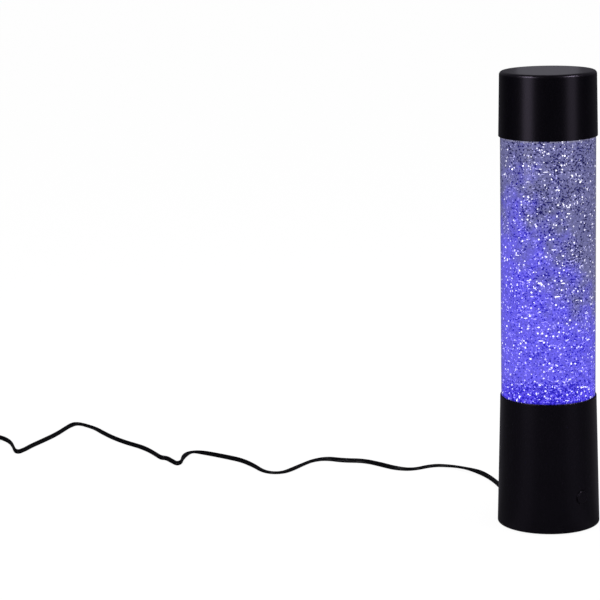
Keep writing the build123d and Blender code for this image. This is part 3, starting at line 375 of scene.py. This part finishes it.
def glow_colour(tree, place):
    """The glow: grey to violet blue, deeper blue low down, a dark seam at the rim and a pale one on top."""
    blue = blue_share(tree, place)
    colour = add_node(tree, "Mix", {0: blue, 6: srgb("6c6d86"), 7: srgb("675fe2")}, 2, data_type="RGBA")
    height = add_node(tree, "SeparateXYZ", {0: place}, "Z")
    # Height where each band begins, height where it is full, and its colour
    bands = (
        (rim_height + 17 * mm, rim_height + 2 * mm, "5c4eea"),
        (rim_height + 0.9 * mm, rim_height + 0.1 * mm, "2a1cc8"),
        (cap_height - 2.2 * mm, cap_height - 1.2 * mm, "7c7b98"),
    )
    for begin, end, code in bands:
        share = add_node(
            tree,
            "MapRange",
            {"Value": height, "From Min": begin, "From Max": end},
            interpolation_type="SMOOTHSTEP",
        )
        colour = add_node(tree, "Mix", {0: share, 6: colour, 7: srgb(code)}, 2, data_type="RGBA")
    return colour


def lit_liquid():
    """Water with a thickener, lit from below: a thin haze of its glow in front of the flakes."""
    material, tree, place = start_material("lit_liquid")
    haze = add_node(
        tree,
        "BsdfPrincipled",
        {
            "Base Color": srgb("04040a"),
            "Roughness": 0.5,
            "Specular IOR Level": 0.0,
            "Emission Color": glow_colour(tree, place),
            "Emission Strength": 1.0,
        },
    )
    clear = add_node(tree, "BsdfTransparent")
    mixed = add_node(tree, "MixShader", {0: 0.05, 1: clear, 2: haze})
    add_node(tree, "OutputMaterial", {"Surface": mixed})
    return material


def glitter_cloud():
    """The liquid crowded with far flakes: a soft glow, mottled at the scale of the flakes."""
    material, tree, place = start_material("glitter_cloud")
    # Painted glint and shade of far flakes: flakes are about 1 mm across, drawn at 1.3 mm so that the
    # mottling shows
    specks = add_node(tree, "TexNoise", {"Vector": place, "Scale": 1 / (1.3 * mm), "Detail": 2})
    shade = add_node(
        tree,
        "MapRange",
        {"Value": specks, "From Min": 0.25, "From Max": 0.75, "To Min": 0.66, "To Max": 1.6},
    )
    surface = add_node(
        tree,
        "BsdfPrincipled",
        {
            "Base Color": srgb("04040a"),
            "Roughness": 0.6,
            "Specular IOR Level": 0.0,
            "Emission Color": glow_colour(tree, place),
            "Emission Strength": shade,
        },
    )
    add_node(tree, "OutputMaterial", {"Surface": surface})
    return material


def flake(name, grey_side, blue_side, strength, metallic):
    """Polyester film, silvered and die cut: small mirrors that flash white or show dark.

    The flash and the dark side are painted: each material's colour and glow is a painted glint or painted
    shade, tinted like the glow, and each piece of flakes takes one material whatever the flakes' turns. Its
    metallic share mirrors the studio as well.
    """
    material, tree, place = start_material(name)
    blue = blue_share(tree, place)
    # Painted light: the glint or shade is greyer where the glow is grey and bluer where it is blue
    colour = add_node(tree, "Mix", {0: blue, 6: srgb(grey_side), 7: srgb(blue_side)}, 2, data_type="RGBA")
    surface = add_node(
        tree,
        "BsdfPrincipled",
        {
            "Base Color": colour,
            "Metallic": metallic,
            "Roughness": 0.3,
            "Specular IOR Level": 0.1,
            "Emission Color": colour,
            "Emission Strength": strength,
        },
    )
    add_node(tree, "OutputMaterial", {"Surface": surface})
    return material


def fine_finish(name, dark, light, grain_size, roughness, metallic=0.0):
    """A finish of two near colours in a fine grain, for the pieces inside the lamp and on the plug."""
    material, tree, place = start_material(name)
    grain = add_node(tree, "TexNoise", {"Vector": place, "Scale": 1 / grain_size, "Detail": 3})
    colour = add_node(tree, "Mix", {0: grain, 6: srgb(dark), 7: srgb(light)}, 2, data_type="RGBA")
    smoother = roughness * 0.85
    rougher = roughness * 1.15
    uneven = add_node(tree, "MapRange", {"Value": grain, "To Min": smoother, "To Max": rougher})
    relief = add_node(tree, "Bump", {"Height": grain, "Strength": 0.1, "Distance": 0.03 * mm})
    surface = add_node(
        tree,
        "BsdfPrincipled",
        {"Base Color": colour, "Roughness": uneven, "Metallic": metallic, "Normal": relief},
    )
    add_node(tree, "OutputMaterial", {"Surface": surface})
    return material


finishes = {
    "black_abs": satin_black_abs(),
    "black_rubber": pressed_rubber(),
    "cord_pvc": soft_black_pvc(),
    "clear_acrylic": cast_acrylic(),
    "glitter_liquid": lit_liquid(),
    # Nylon, moulded: milky and soft in its gloss
    "white_nylon": fine_finish("moulded_white_nylon", "dfded6", "ecebe5", 1.5 * mm, 0.45),
    "black_nylon": fine_finish("moulded_black_nylon", "101013", "1a1a1e", 0.8 * mm, 0.5),
    # Nickel on the pressed magnets: warm and bright, dulled by the grain below it
    "nickel_magnet": fine_finish("nickel_plate", "b4b1a8", "c6c3ba", 0.6 * mm, 0.22, 1.0),
    # Steel, drawn or rolled and ground: grey, with a fine bright grain
    "steel": fine_finish("ground_steel", "a2a4a6", "bec0c2", 0.5 * mm, 0.28, 1.0),
    # Zinc with a clear passivation: pale blue grey and slightly matt
    "zinc_screw": fine_finish("zinc_plate", "a7abb2", "c4c7cc", 0.7 * mm, 0.34, 1.0),
    # The can of the motor, drawn and electroplated: a softer, slightly warm grey
    "motor_steel": fine_finish("drawn_motor_steel", "9a9b9a", "b3b4b3", 1.2 * mm, 0.3, 1.0),
    # Brass, turned from bar: yellow, with a bright fine grain
    "brass": fine_finish("turned_brass", "c7a358", "d9b970", 0.6 * mm, 0.26, 1.0),
    # Solder mask over glass cloth, whose weave is about 0.5 mm
    "board_green": fine_finish("solder_mask", "1c5732", "276b40", 0.5 * mm, 0.35),
    # Epoxy filled with silica, moulded round the chips: dull and nearly black
    "chip_black": fine_finish("moulded_epoxy", "1a1a1b", "252526", 0.4 * mm, 0.55),
    # Silicone with a little phosphor, cast over the light chips: creamy white
    "light_white": fine_finish("light_chip_resin", "e6e4d4", "f4f3ea", 0.5 * mm, 0.4),
    # Thin PVC, extruded over stranded wire: bright and a little waxy
    "wire_red": fine_finish("red_wire_pvc", "a51d20", "ba2a2c", 0.9 * mm, 0.38),
    "wire_blue": fine_finish("blue_wire_pvc", "203d9a", "2d4db3", 0.9 * mm, 0.38),
    # Polyester sleeve, shrunk on the capacitor's can: deep blue and tight
    "can_blue": fine_finish("shrunk_sleeve", "1d3360", "28427d", 0.8 * mm, 0.32),
}


def dress_nodes():
    """Each CAD node takes the finish of its material slot in the record."""
    for subpart in frame["record"]["subparts"]:
        node = frame["nodes"][subpart["node"]]
        if not node.material_slots:
            node.data.materials.append(None)
        for slot in node.material_slots:
            slot.material = finishes[subpart["material_slot"]]


def finish_piece(piece, material):
    """Puts a piece's place into its mesh, and gives it a material, the lamp's body and a slot."""
    bpy.ops.object.select_all(action="DESELECT")
    piece.select_set(True)
    bpy.context.view_layer.objects.active = piece
    bpy.ops.object.transform_apply(location=True, rotation=True, scale=True)
    piece.data.materials.clear()
    piece.data.materials.append(material)
    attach(piece, "lamp")


def add_mesh_object(name, points, faces):
    """An object of these points and faces, in the scene."""
    mesh = bpy.data.meshes.new(name)
    mesh.from_pydata(points, [], faces)
    mesh.update()
    piece = bpy.data.objects.new(name, mesh)
    bpy.context.scene.collection.objects.link(piece)
    return piece


def make_cloud():
    """The liquid that is crowded with far flakes: a closed column with a slightly uneven side."""
    bpy.ops.mesh.primitive_cylinder_add(
        vertices=cloud_sides,
        radius=cloud_radius,
        depth=cloud_top - cloud_bottom,
        location=(0, 0, (cloud_top + cloud_bottom) / 2),
    )
    column = bpy.context.object
    column.name = "glitter_cloud"
    bpy.ops.object.transform_apply(location=True)
    shape = bmesh.new()
    shape.from_mesh(column.data)
    upright = [edge for edge in shape.edges if abs(edge.verts[0].co.z - edge.verts[1].co.z) > mm]
    bmesh.ops.subdivide_edges(shape, edges=upright, cuts=cloud_rings, use_grid_fill=True)
    for vertex in shape.verts:
        if cloud_bottom + mm < vertex.co.z < cloud_top - mm:
            swell = 1 + noise.noise(vertex.co / cloud_swell_size) * cloud_swell / cloud_radius
            vertex.co.x *= swell
            vertex.co.y *= swell
    shape.to_mesh(column.data)
    shape.free()
    bpy.ops.object.shade_smooth_by_angle(angle=math.radians(40))
    finish_piece(column, glitter_cloud())


def flake_shape():
    """Corners and faces of one flake: a six-sided disc, thin at its edge."""
    bpy.ops.mesh.primitive_uv_sphere_add(segments=6, ring_count=2, radius=1)
    disc = bpy.context.object
    corners = [vertex.co.copy() for vertex in disc.data.vertices]
    faces = [tuple(face.vertices) for face in disc.data.polygons]
    bpy.data.objects.remove(disc)
    return corners, faces


def scatter_flakes(name, count, seed, radii, streak_share, crowding, material):
    """Flakes in random places and turns, more where crowding, a function of the place, is high."""
    chance = random.Random(seed)
    corners, faces = flake_shape()
    points = []
    all_faces = []
    placed = 0
    while placed < count:
        around = chance.uniform(0, math.tau)
        outward = Vector((math.cos(around), math.sin(around), 0))
        height = chance.uniform(flakes_bottom, flakes_top)
        place = outward * chance.uniform(flakes_inner_radius, flakes_outer_radius)
        place.z = height
        if chance.random() > crowding(place):
            continue
        radius = chance.uniform(*radii) * mm
        stray = Vector([chance.uniform(-1, 1) for axis in range(3)])
        facing = (outward + stray * flake_stray_share).to_track_quat("Z", "Y").to_matrix()
        spin = Matrix.Rotation(chance.uniform(0, math.tau), 3, "Z")
        turned = facing @ spin @ Matrix.Diagonal((radius, radius, radius * flake_thickness_share))
        if chance.random() < streak_share:
            along = Vector((-outward.y, outward.x, 0))
            longer = Matrix.Scale(chance.uniform(*streak_length_shares), 3, along)
            lower = Matrix.Scale(streak_height_share, 3, (0, 0, 1))
            turned = longer @ lower @ turned
        flake_points = [place + turned @ corner for corner in corners]
        if max(math.hypot(point.x, point.y) for point in flake_points) > liquid_radius - flake_wall_gap:
            continue
        first = len(points)
        points.extend(flake_points)
        all_faces.extend(tuple(first + index for index in face) for face in faces)
        placed += 1
    finish_piece(add_mesh_object(name, points, all_faces), material)


def share_up(place):
    """How far up the tank a place is, from 0 at the rim to 1 at the cap."""
    return (place.z - rim_height) / (cap_height - rim_height)


def drift(place, size):
    """Crowding of the stirred flakes at a place, near 0.5, in drifts of this size."""
    return 0.5 + 0.9 * noise.noise(place / size)


def thinning(place, least):
    """1 over most of the width seen from the camera, falling to this least share at the two sides."""
    off_middle = abs(place.dot(photo_right)) / tank_radius
    return 1 - (1 - least) * min(1.0, max(0.0, (off_middle - 0.6) / 0.25))


def glint_flake_crowding(place):
    """Flakes with a painted glint, in clusters, and packed just above the rim."""
    packed = 0.5 if share_up(place) < packed_band_share else 0.0
    return (drift(place, bright_drift_size) + packed) * thinning(place, 0.6)


def shade_flake_crowding(place):
    """Flakes with painted shade are most in the pale upper part and to one side, and again just above the
    rim.
    """
    up = share_up(place)
    level = 0.15 + 0.28 * up + 0.12 * place.dot(photo_right) / tank_radius
    if up < packed_band_share:
        level += 0.85
    return level * (0.3 + 1.2 * drift(place, glow_drift_size)) * thinning(place, 0.3)


def dim_glint_flake_crowding(place):
    """Flakes with a dim painted glint, more of them in the bright lower part."""
    return (drift(place, dim_drift_size) + 0.35 * (1 - share_up(place))) * thinning(place, 0.7)


def make_glitter():
    """Four pieces of flakes: each has a count, a seed, radii in millimetres and a share of long streaks."""
    # Painted light: one finish is a painted glint over half metal, one is painted shade, and one is a dim
    # painted glint over a little metal
    bright = flake("flake_painted_glint", "eeeef6", "ecebff", 1.0, 0.5)
    shaded = flake("flake_painted_shade", "08081c", "241aa8", 0.7, 0.0)
    dim = flake("flake_painted_dim_glint", "9c9cbc", "a098fa", 0.95, 0.2)
    scatter_flakes("glitter_painted_glint", 1500, 11, (0.5, 0.95), 0.08, glint_flake_crowding, bright)
    scatter_flakes("glitter_painted_shade_large", 4600, 12, (0.65, 1.0), 0.05, shade_flake_crowding, shaded)
    scatter_flakes("glitter_painted_shade_small", 3200, 13, (0.42, 0.68), 0.05, shade_flake_crowding, shaded)
    scatter_flakes("glitter_painted_dim_glint", 3900, 14, (0.4, 0.75), 0.08, dim_glint_flake_crowding, dim)


def half_height(tilt):
    """Half the height of the flat section at a tilt, in plain millimetres, with a little air under it."""
    return lead_core_radius / mm * (1 + lead_air_share + abs(math.sin(math.radians(tilt))))


def coil_route():
    """Points of the coil and its end: half turns draw in on the table, one climbs, others run out on top."""
    x, y, height, _ = lead_route[-1]
    width = coil_radius * 2
    side = -1
    ahead = 1
    points = []
    chance = random.Random(5)
    for index in range(coil_half_turns_in_layer * 2 + 1):
        climbing = index == coil_half_turns_in_layer
        for step in range(coil_points_in_half_turn):
            share = (step + 0.5) / coil_points_in_half_turn
            reach = width / 2 + chance.uniform(-coil_unevenness, coil_unevenness)
            points.append(
                (
                    x + side * (width / 2 - reach * math.cos(math.pi * share)),
                    y + coil_straight + ahead * reach * math.sin(math.pi * share),
                    height + (coil_layer_rise * share if climbing else 0),
                    0,
                )
            )
        x += side * width
        side = -side
        ahead = -ahead
        height += coil_layer_rise if climbing else 0
        width += -coil_pitch if index < coil_half_turns_in_layer else coil_pitch
    return points, (x, y + coil_straight, height)


def lead_end_route(end):
    """Points from the coil down to the plug, which lies beside it."""
    x, y, height = end
    plug_low, plug_high = (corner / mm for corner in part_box("plug_body"))
    plug_x = (plug_low.x + plug_high.x) / 2
    plug_height = (plug_low.z + plug_high.z) / 2
    return [
        (x, y - coil_end_straight, height, 0),
        (x, y - coil_end_run, height, 0),
        (x + (plug_x - x) * plug_bend_share, y - plug_bend, plug_height, 0),
        (plug_x, plug_high.y + plug_run, plug_height, 0),
        (plug_x, plug_high.y, plug_height, 0),
    ]


def spline_points(name, points):
    """Points read along the smooth spline that has these control points."""
    curve = bpy.data.curves.new(name, "CURVE")
    curve.dimensions = "3D"
    curve.resolution_u = 8
    spline = curve.splines.new("NURBS")
    spline.points.add(len(points) - 1)
    for control, point in zip(spline.points, points):
        control.co = (*point, 1.0)
    spline.order_u = 3
    spline.use_endpoint_u = True
    holder = bpy.data.objects.new(name, curve)
    bpy.context.scene.collection.objects.link(holder)
    bpy.context.view_layer.update()
    mesh = bpy.data.meshes.new_from_object(holder)
    read = [vertex.co.copy() for vertex in mesh.vertices]
    bpy.data.objects.remove(holder)
    bpy.data.meshes.remove(mesh)
    return read


def flex_section():
    """Outline of the flat flex across its length: two round cores joined by a web."""
    opening = math.asin(lead_web_share)
    outline = []
    for side in (1, -1):
        for step in range(lead_points_round_core):
            angle = -math.pi + opening + (math.tau - 2 * opening) * step / (lead_points_round_core - 1)
            across = lead_core_radius * (1 + math.cos(angle))
            outline.append((side * across, side * lead_core_radius * math.sin(angle)))
    return outline


def make_lead():
    """The lead as one flat flex that twists as it lies, from the base to the plug."""
    turns, coil_end = coil_route()
    route = lead_route + turns + lead_end_route(coil_end)
    places = [(x * mm, y * mm, max(z, half_height(tilt)) * mm) for x, y, z, tilt in route]
    centres = spline_points("lead_line", places)
    # The tilt follows the same spline, in the place of the height
    leanings = [(x, y, math.radians(tilt)) for x, y, z, tilt in route]
    tilts = [point.z for point in spline_points("tilt_line", leanings)]
    section = flex_section()
    count = len(section)
    points = []
    faces = []
    for index, centre in enumerate(centres):
        ahead = centres[min(index + 1, len(centres) - 1)] - centres[max(index - 1, 0)]
        across = ahead.cross(Vector((0, 0, 1))).normalized()
        above = across.cross(ahead.normalized())
        cosine = math.cos(tilts[index])
        sine = math.sin(tilts[index])
        for u, v in section:
            points.append(centre + across * (u * cosine - v * sine) + above * (u * sine + v * cosine))
        if index:
            ring = (index - 1) * count
            for step in range(count):
                after = (step + 1) % count
                faces.append((ring + step, ring + after, ring + after + count, ring + step + count))
    faces.append(tuple(reversed(range(count))))
    faces.append(tuple(range(len(points) - count, len(points))))
    lead = add_mesh_object("lead_flex", points, faces)
    lead.data.polygons.foreach_set("use_smooth", [True] * len(faces))
    finish_piece(lead, finishes["cord_pvc"])
    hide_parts("lead", "lead_coil", "lead_end")
    return lead, centres


def make_coil_strap():
    """A strap round the near side of the coil, open at both ends, with rounded corners."""
    low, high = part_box("coil_tie")
    middle = (low + high) / 2
    height = (coil_lift + coil_layer_rise + strap_air) * mm + lead_core_radius * 2
    bpy.ops.mesh.primitive_cube_add(size=1, location=(middle.x, middle.y, height / 2))
    strap = bpy.context.object
    strap.name = "coil_strap"
    strap.scale = (high.x - low.x, high.y - low.y - strap_setback * mm, height)
    bpy.ops.object.transform_apply(location=True, scale=True)
    bpy.ops.object.mode_set(mode="EDIT")
    shape = bmesh.from_edit_mesh(strap.data)
    for face in shape.faces:
        face.select = abs(face.normal.x) > 0.9
    bmesh.update_edit_mesh(strap.data)
    bpy.ops.mesh.delete(type="FACE")
    shape = bmesh.from_edit_mesh(strap.data)
    for edge in shape.edges:
        edge.select = abs(edge.verts[0].co.x - edge.verts[1].co.x) > mm
    bmesh.update_edit_mesh(strap.data)
    bpy.ops.mesh.bevel(offset=strap_rounding * mm, segments=4)
    bpy.ops.object.mode_set(mode="OBJECT")
    wall = strap.modifiers.new("wall", "SOLIDIFY")
    wall.thickness = strap_wall * mm
    wall.offset = -1
    bpy.ops.object.modifier_apply(modifier="wall")
    bpy.ops.object.shade_smooth_by_angle(angle=math.radians(40))
    finish_piece(strap, finishes["black_nylon"])
    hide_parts("coil_tie")
    return strap


def background_rays(tree):
    """1 for the rays that show the background: camera, glossy and transmission rays."""
    seen = add_node(tree, "LightPath", output="Is Camera Ray")
    for kind in ("Is Glossy Ray", "Is Transmission Ray"):
        ray = add_node(tree, "LightPath", output=kind)
        seen = add_node(tree, "Math", {0: seen, 1: ray}, operation="MAXIMUM")
    return seen


def make_floor():
    """A pale floor that reads white and keeps a faint shadow."""
    bpy.ops.mesh.primitive_plane_add(size=floor_side, location=(0, 0, -floor_drop))
    floor = bpy.context.object
    floor.name = "studio_floor"
    material, tree, _ = start_material("studio_white")
    lit = add_node(tree, "BsdfDiffuse", {"Color": srgb("fafafa")})
    white = add_node(tree, "Emission", {"Color": srgb("ffffff"), "Strength": 1.02})
    share = add_node(tree, "Math", {0: background_rays(tree), 1: 0.9}, operation="MULTIPLY")
    mixed = add_node(tree, "MixShader", {0: share, 1: lit, 2: white})
    add_node(tree, "OutputMaterial", {"Surface": mixed})
    floor.data.materials.append(material)


def softbox_direction(bearing):
    """Level direction from the lamp at a bearing."""
    angle = math.radians(bearing)
    return to_camera * math.cos(angle) + photo_right * math.sin(angle)


def hide_from_all_but_reflections(stage_piece):
    """Leaves a piece of the studio to the reflections alone."""
    stage_piece.visible_camera = False
    stage_piece.visible_diffuse = False
    stage_piece.visible_transmission = False
    stage_piece.visible_shadow = False


def make_dark_tent():
    """Black cloth round the set that only reflections see: it keeps the black plastic dark."""
    bpy.ops.mesh.primitive_cylinder_add(
        vertices=tent_sides,
        radius=tent_radius,
        depth=tent_height,
        end_fill_type="NGON",
        location=(0, 0, tent_height / 2 + tent_lift),
    )
    tent = bpy.context.object
    tent.name = "studio_dark_tent"
    material, tree, _ = start_material("studio_black_cloth")
    place = add_node(tree, "NewGeometry", output="Position")
    height = add_node(tree, "SeparateXYZ", {0: place}, "Z")
    level = add_node(tree, "VectorMath", {0: place, 1: (1, 1, 0)}, operation="MULTIPLY")
    bearing = add_node(tree, "VectorMath", {0: level}, operation="NORMALIZE")
    # The cloth is a little lighter close to the floor
    strength = add_node(
        tree,
        "MapRange",
        {"Value": height, "From Min": 0.08, "From Max": 0.01, "To Min": 0.003, "To Max": 0.06},
    )
    # It catches light behind the lamp and round each upright softbox: the direction, the cosines at which
    # the glow begins and is full, and its strength
    catches = (
        (photo_right * 0.1 - to_camera, 0.1, 1.0, 0.07),
        (softbox_direction(left_bearing), 0.93, 1.0, 0.05),
        (softbox_direction(right_bearing), 0.93, 1.0, 0.04),
    )
    for direction, begin, end, glow in catches:
        towards = add_node(
            tree, "VectorMath", {0: bearing, 1: direction.normalized()}, "Value", operation="DOT_PRODUCT"
        )
        share = add_node(
            tree,
            "MapRange",
            {"Value": towards, "From Min": begin, "From Max": end, "To Max": glow},
            interpolation_type="SMOOTHSTEP",
        )
        strength = add_node(tree, "Math", {0: strength, 1: share}, operation="ADD")
    # Above the lamp's height the cloth is lit, more so behind the lamp
    behind = add_node(tree, "VectorMath", {0: bearing, 1: -to_camera}, "Value", operation="DOT_PRODUCT")
    lit = add_node(
        tree,
        "MapRange",
        {"Value": behind, "From Min": -1.0, "From Max": 0.8, "To Max": 0.07},
    )
    upper = add_node(tree, "MapRange", {"Value": height, "From Min": 0.41, "From Max": 0.52})
    both = add_node(tree, "Math", {0: lit, 1: upper, 2: strength}, operation="MULTIPLY_ADD")
    glow = add_node(tree, "Emission", {"Color": srgb("f3f0ff"), "Strength": both})
    add_node(tree, "OutputMaterial", {"Surface": glow})
    tent.data.materials.append(material)
    hide_from_all_but_reflections(tent)


def make_top_card():
    """A lit card close behind the lamp that only reflections see, for the middle of the flat top."""
    bpy.ops.mesh.primitive_plane_add(size=1, location=(0, 0, 0))
    card = bpy.context.object
    card.name = "studio_top_card"
    card.scale = (card_width, card_height, 1)
    card.rotation_euler = (-to_camera).to_track_quat("Z", "Y").to_euler()
    card.location = -to_camera * card_distance + Vector((0, 0, cap_top + card_lift + card_height / 2))
    material, tree, _ = start_material("studio_card")
    glow = add_node(tree, "Emission", {"Color": srgb("f3f0ff"), "Strength": 0.29})
    add_node(tree, "OutputMaterial", {"Surface": glow})
    card.data.materials.append(material)
    hide_from_all_but_reflections(card)


def make_world():
    """White where the background shows, and a plain soft light from all round."""
    world = bpy.data.worlds.new("studio_world")
    bpy.context.scene.world = world
    world.use_nodes = True
    tree = world.node_tree
    tree.nodes.clear()
    seen = background_rays(tree)
    strength = add_node(tree, "MapRange", {"Value": seen, "To Min": 0.75, "To Max": 1.0})
    sky = add_node(tree, "Background", {"Color": srgb("ffffff"), "Strength": strength})
    add_node(tree, "OutputWorld", {"Surface": sky})


def add_softbox(name, direction, place, width, height, radiance):
    """A softbox whose face looks along a direction, at a radiance that is the same for any size."""
    light = bpy.data.lights.new(name, "AREA")
    light.shape = "RECTANGLE"
    light.size = width
    light.size_y = height
    light.color = srgb("faf6ff")[:3]
    light.energy = radiance * math.pi * width * height
    softbox = bpy.data.objects.new(name, light)
    bpy.context.scene.collection.objects.link(softbox)
    softbox.location = place
    softbox.rotation_euler = direction.to_track_quat("-Z", "Y").to_euler()
    softbox.visible_camera = False


def add_upright_softbox(name, bearing, width, radiance):
    """A tall softbox at a bearing from the camera's."""
    outward = softbox_direction(bearing)
    place = outward * softbox_distance + Vector((0, 0, softbox_middle))
    add_softbox(name, -outward, place, width, softbox_height, radiance)


def make_lights():
    """Two upright softboxes for the bands on the black plastic, one overhead, and two high ones.

    The high ones look down at the cap and give its top edge two glints.
    """
    add_upright_softbox("softbox_left", left_bearing, 0.35, 1.0)
    add_upright_softbox("softbox_right", right_bearing, 0.36, 0.55)
    down = Vector((0, 0, -1))
    add_softbox("softbox_top", down, -down * top_softbox_height, top_softbox_side, top_softbox_side, 1.1)
    for name, bearing, radiance in (("softbox_high_left", -56, 8.5), ("softbox_high_right", 67, 9.0)):
        away = softbox_direction(bearing) * high_softbox_distance + Vector((0, 0, high_softbox_rise))
        place = away + Vector((0, 0, cap_top))
        add_softbox(name, -away, place, high_softbox_width, high_softbox_height, radiance)


def make_camera():
    """The photograph's camera. It looks along +Y at azimuth 0, and its roll is about its own axis."""
    camera = bpy.data.cameras.new("photo_camera")
    camera.sensor_width = sensor_width
    camera.lens = photo_focal_length * sensor_width / photo_side
    camera.clip_start = nearest_seen
    camera.clip_end = farthest_seen
    holder = bpy.data.objects.new("photo_camera", camera)
    bpy.context.scene.collection.objects.link(holder)
    heading = Matrix.Rotation(math.radians(-camera_azimuth), 4, "Z")
    pitch = Matrix.Rotation(math.radians(90 - camera_down), 4, "X")
    roll = Matrix.Rotation(math.radians(camera_roll), 4, "Z")
    holder.matrix_world = Matrix.Translation(camera_place) @ heading @ pitch @ roll
    bpy.context.scene.camera = holder


make_camera()
dress_nodes()
lead, lead_line = make_lead()
make_coil_strap()
make_cloud()
make_glitter()
make_floor()
make_dark_tent()
make_top_card()
make_world()
make_lights()
bpy.context.scene.view_settings.view_transform = "Standard"
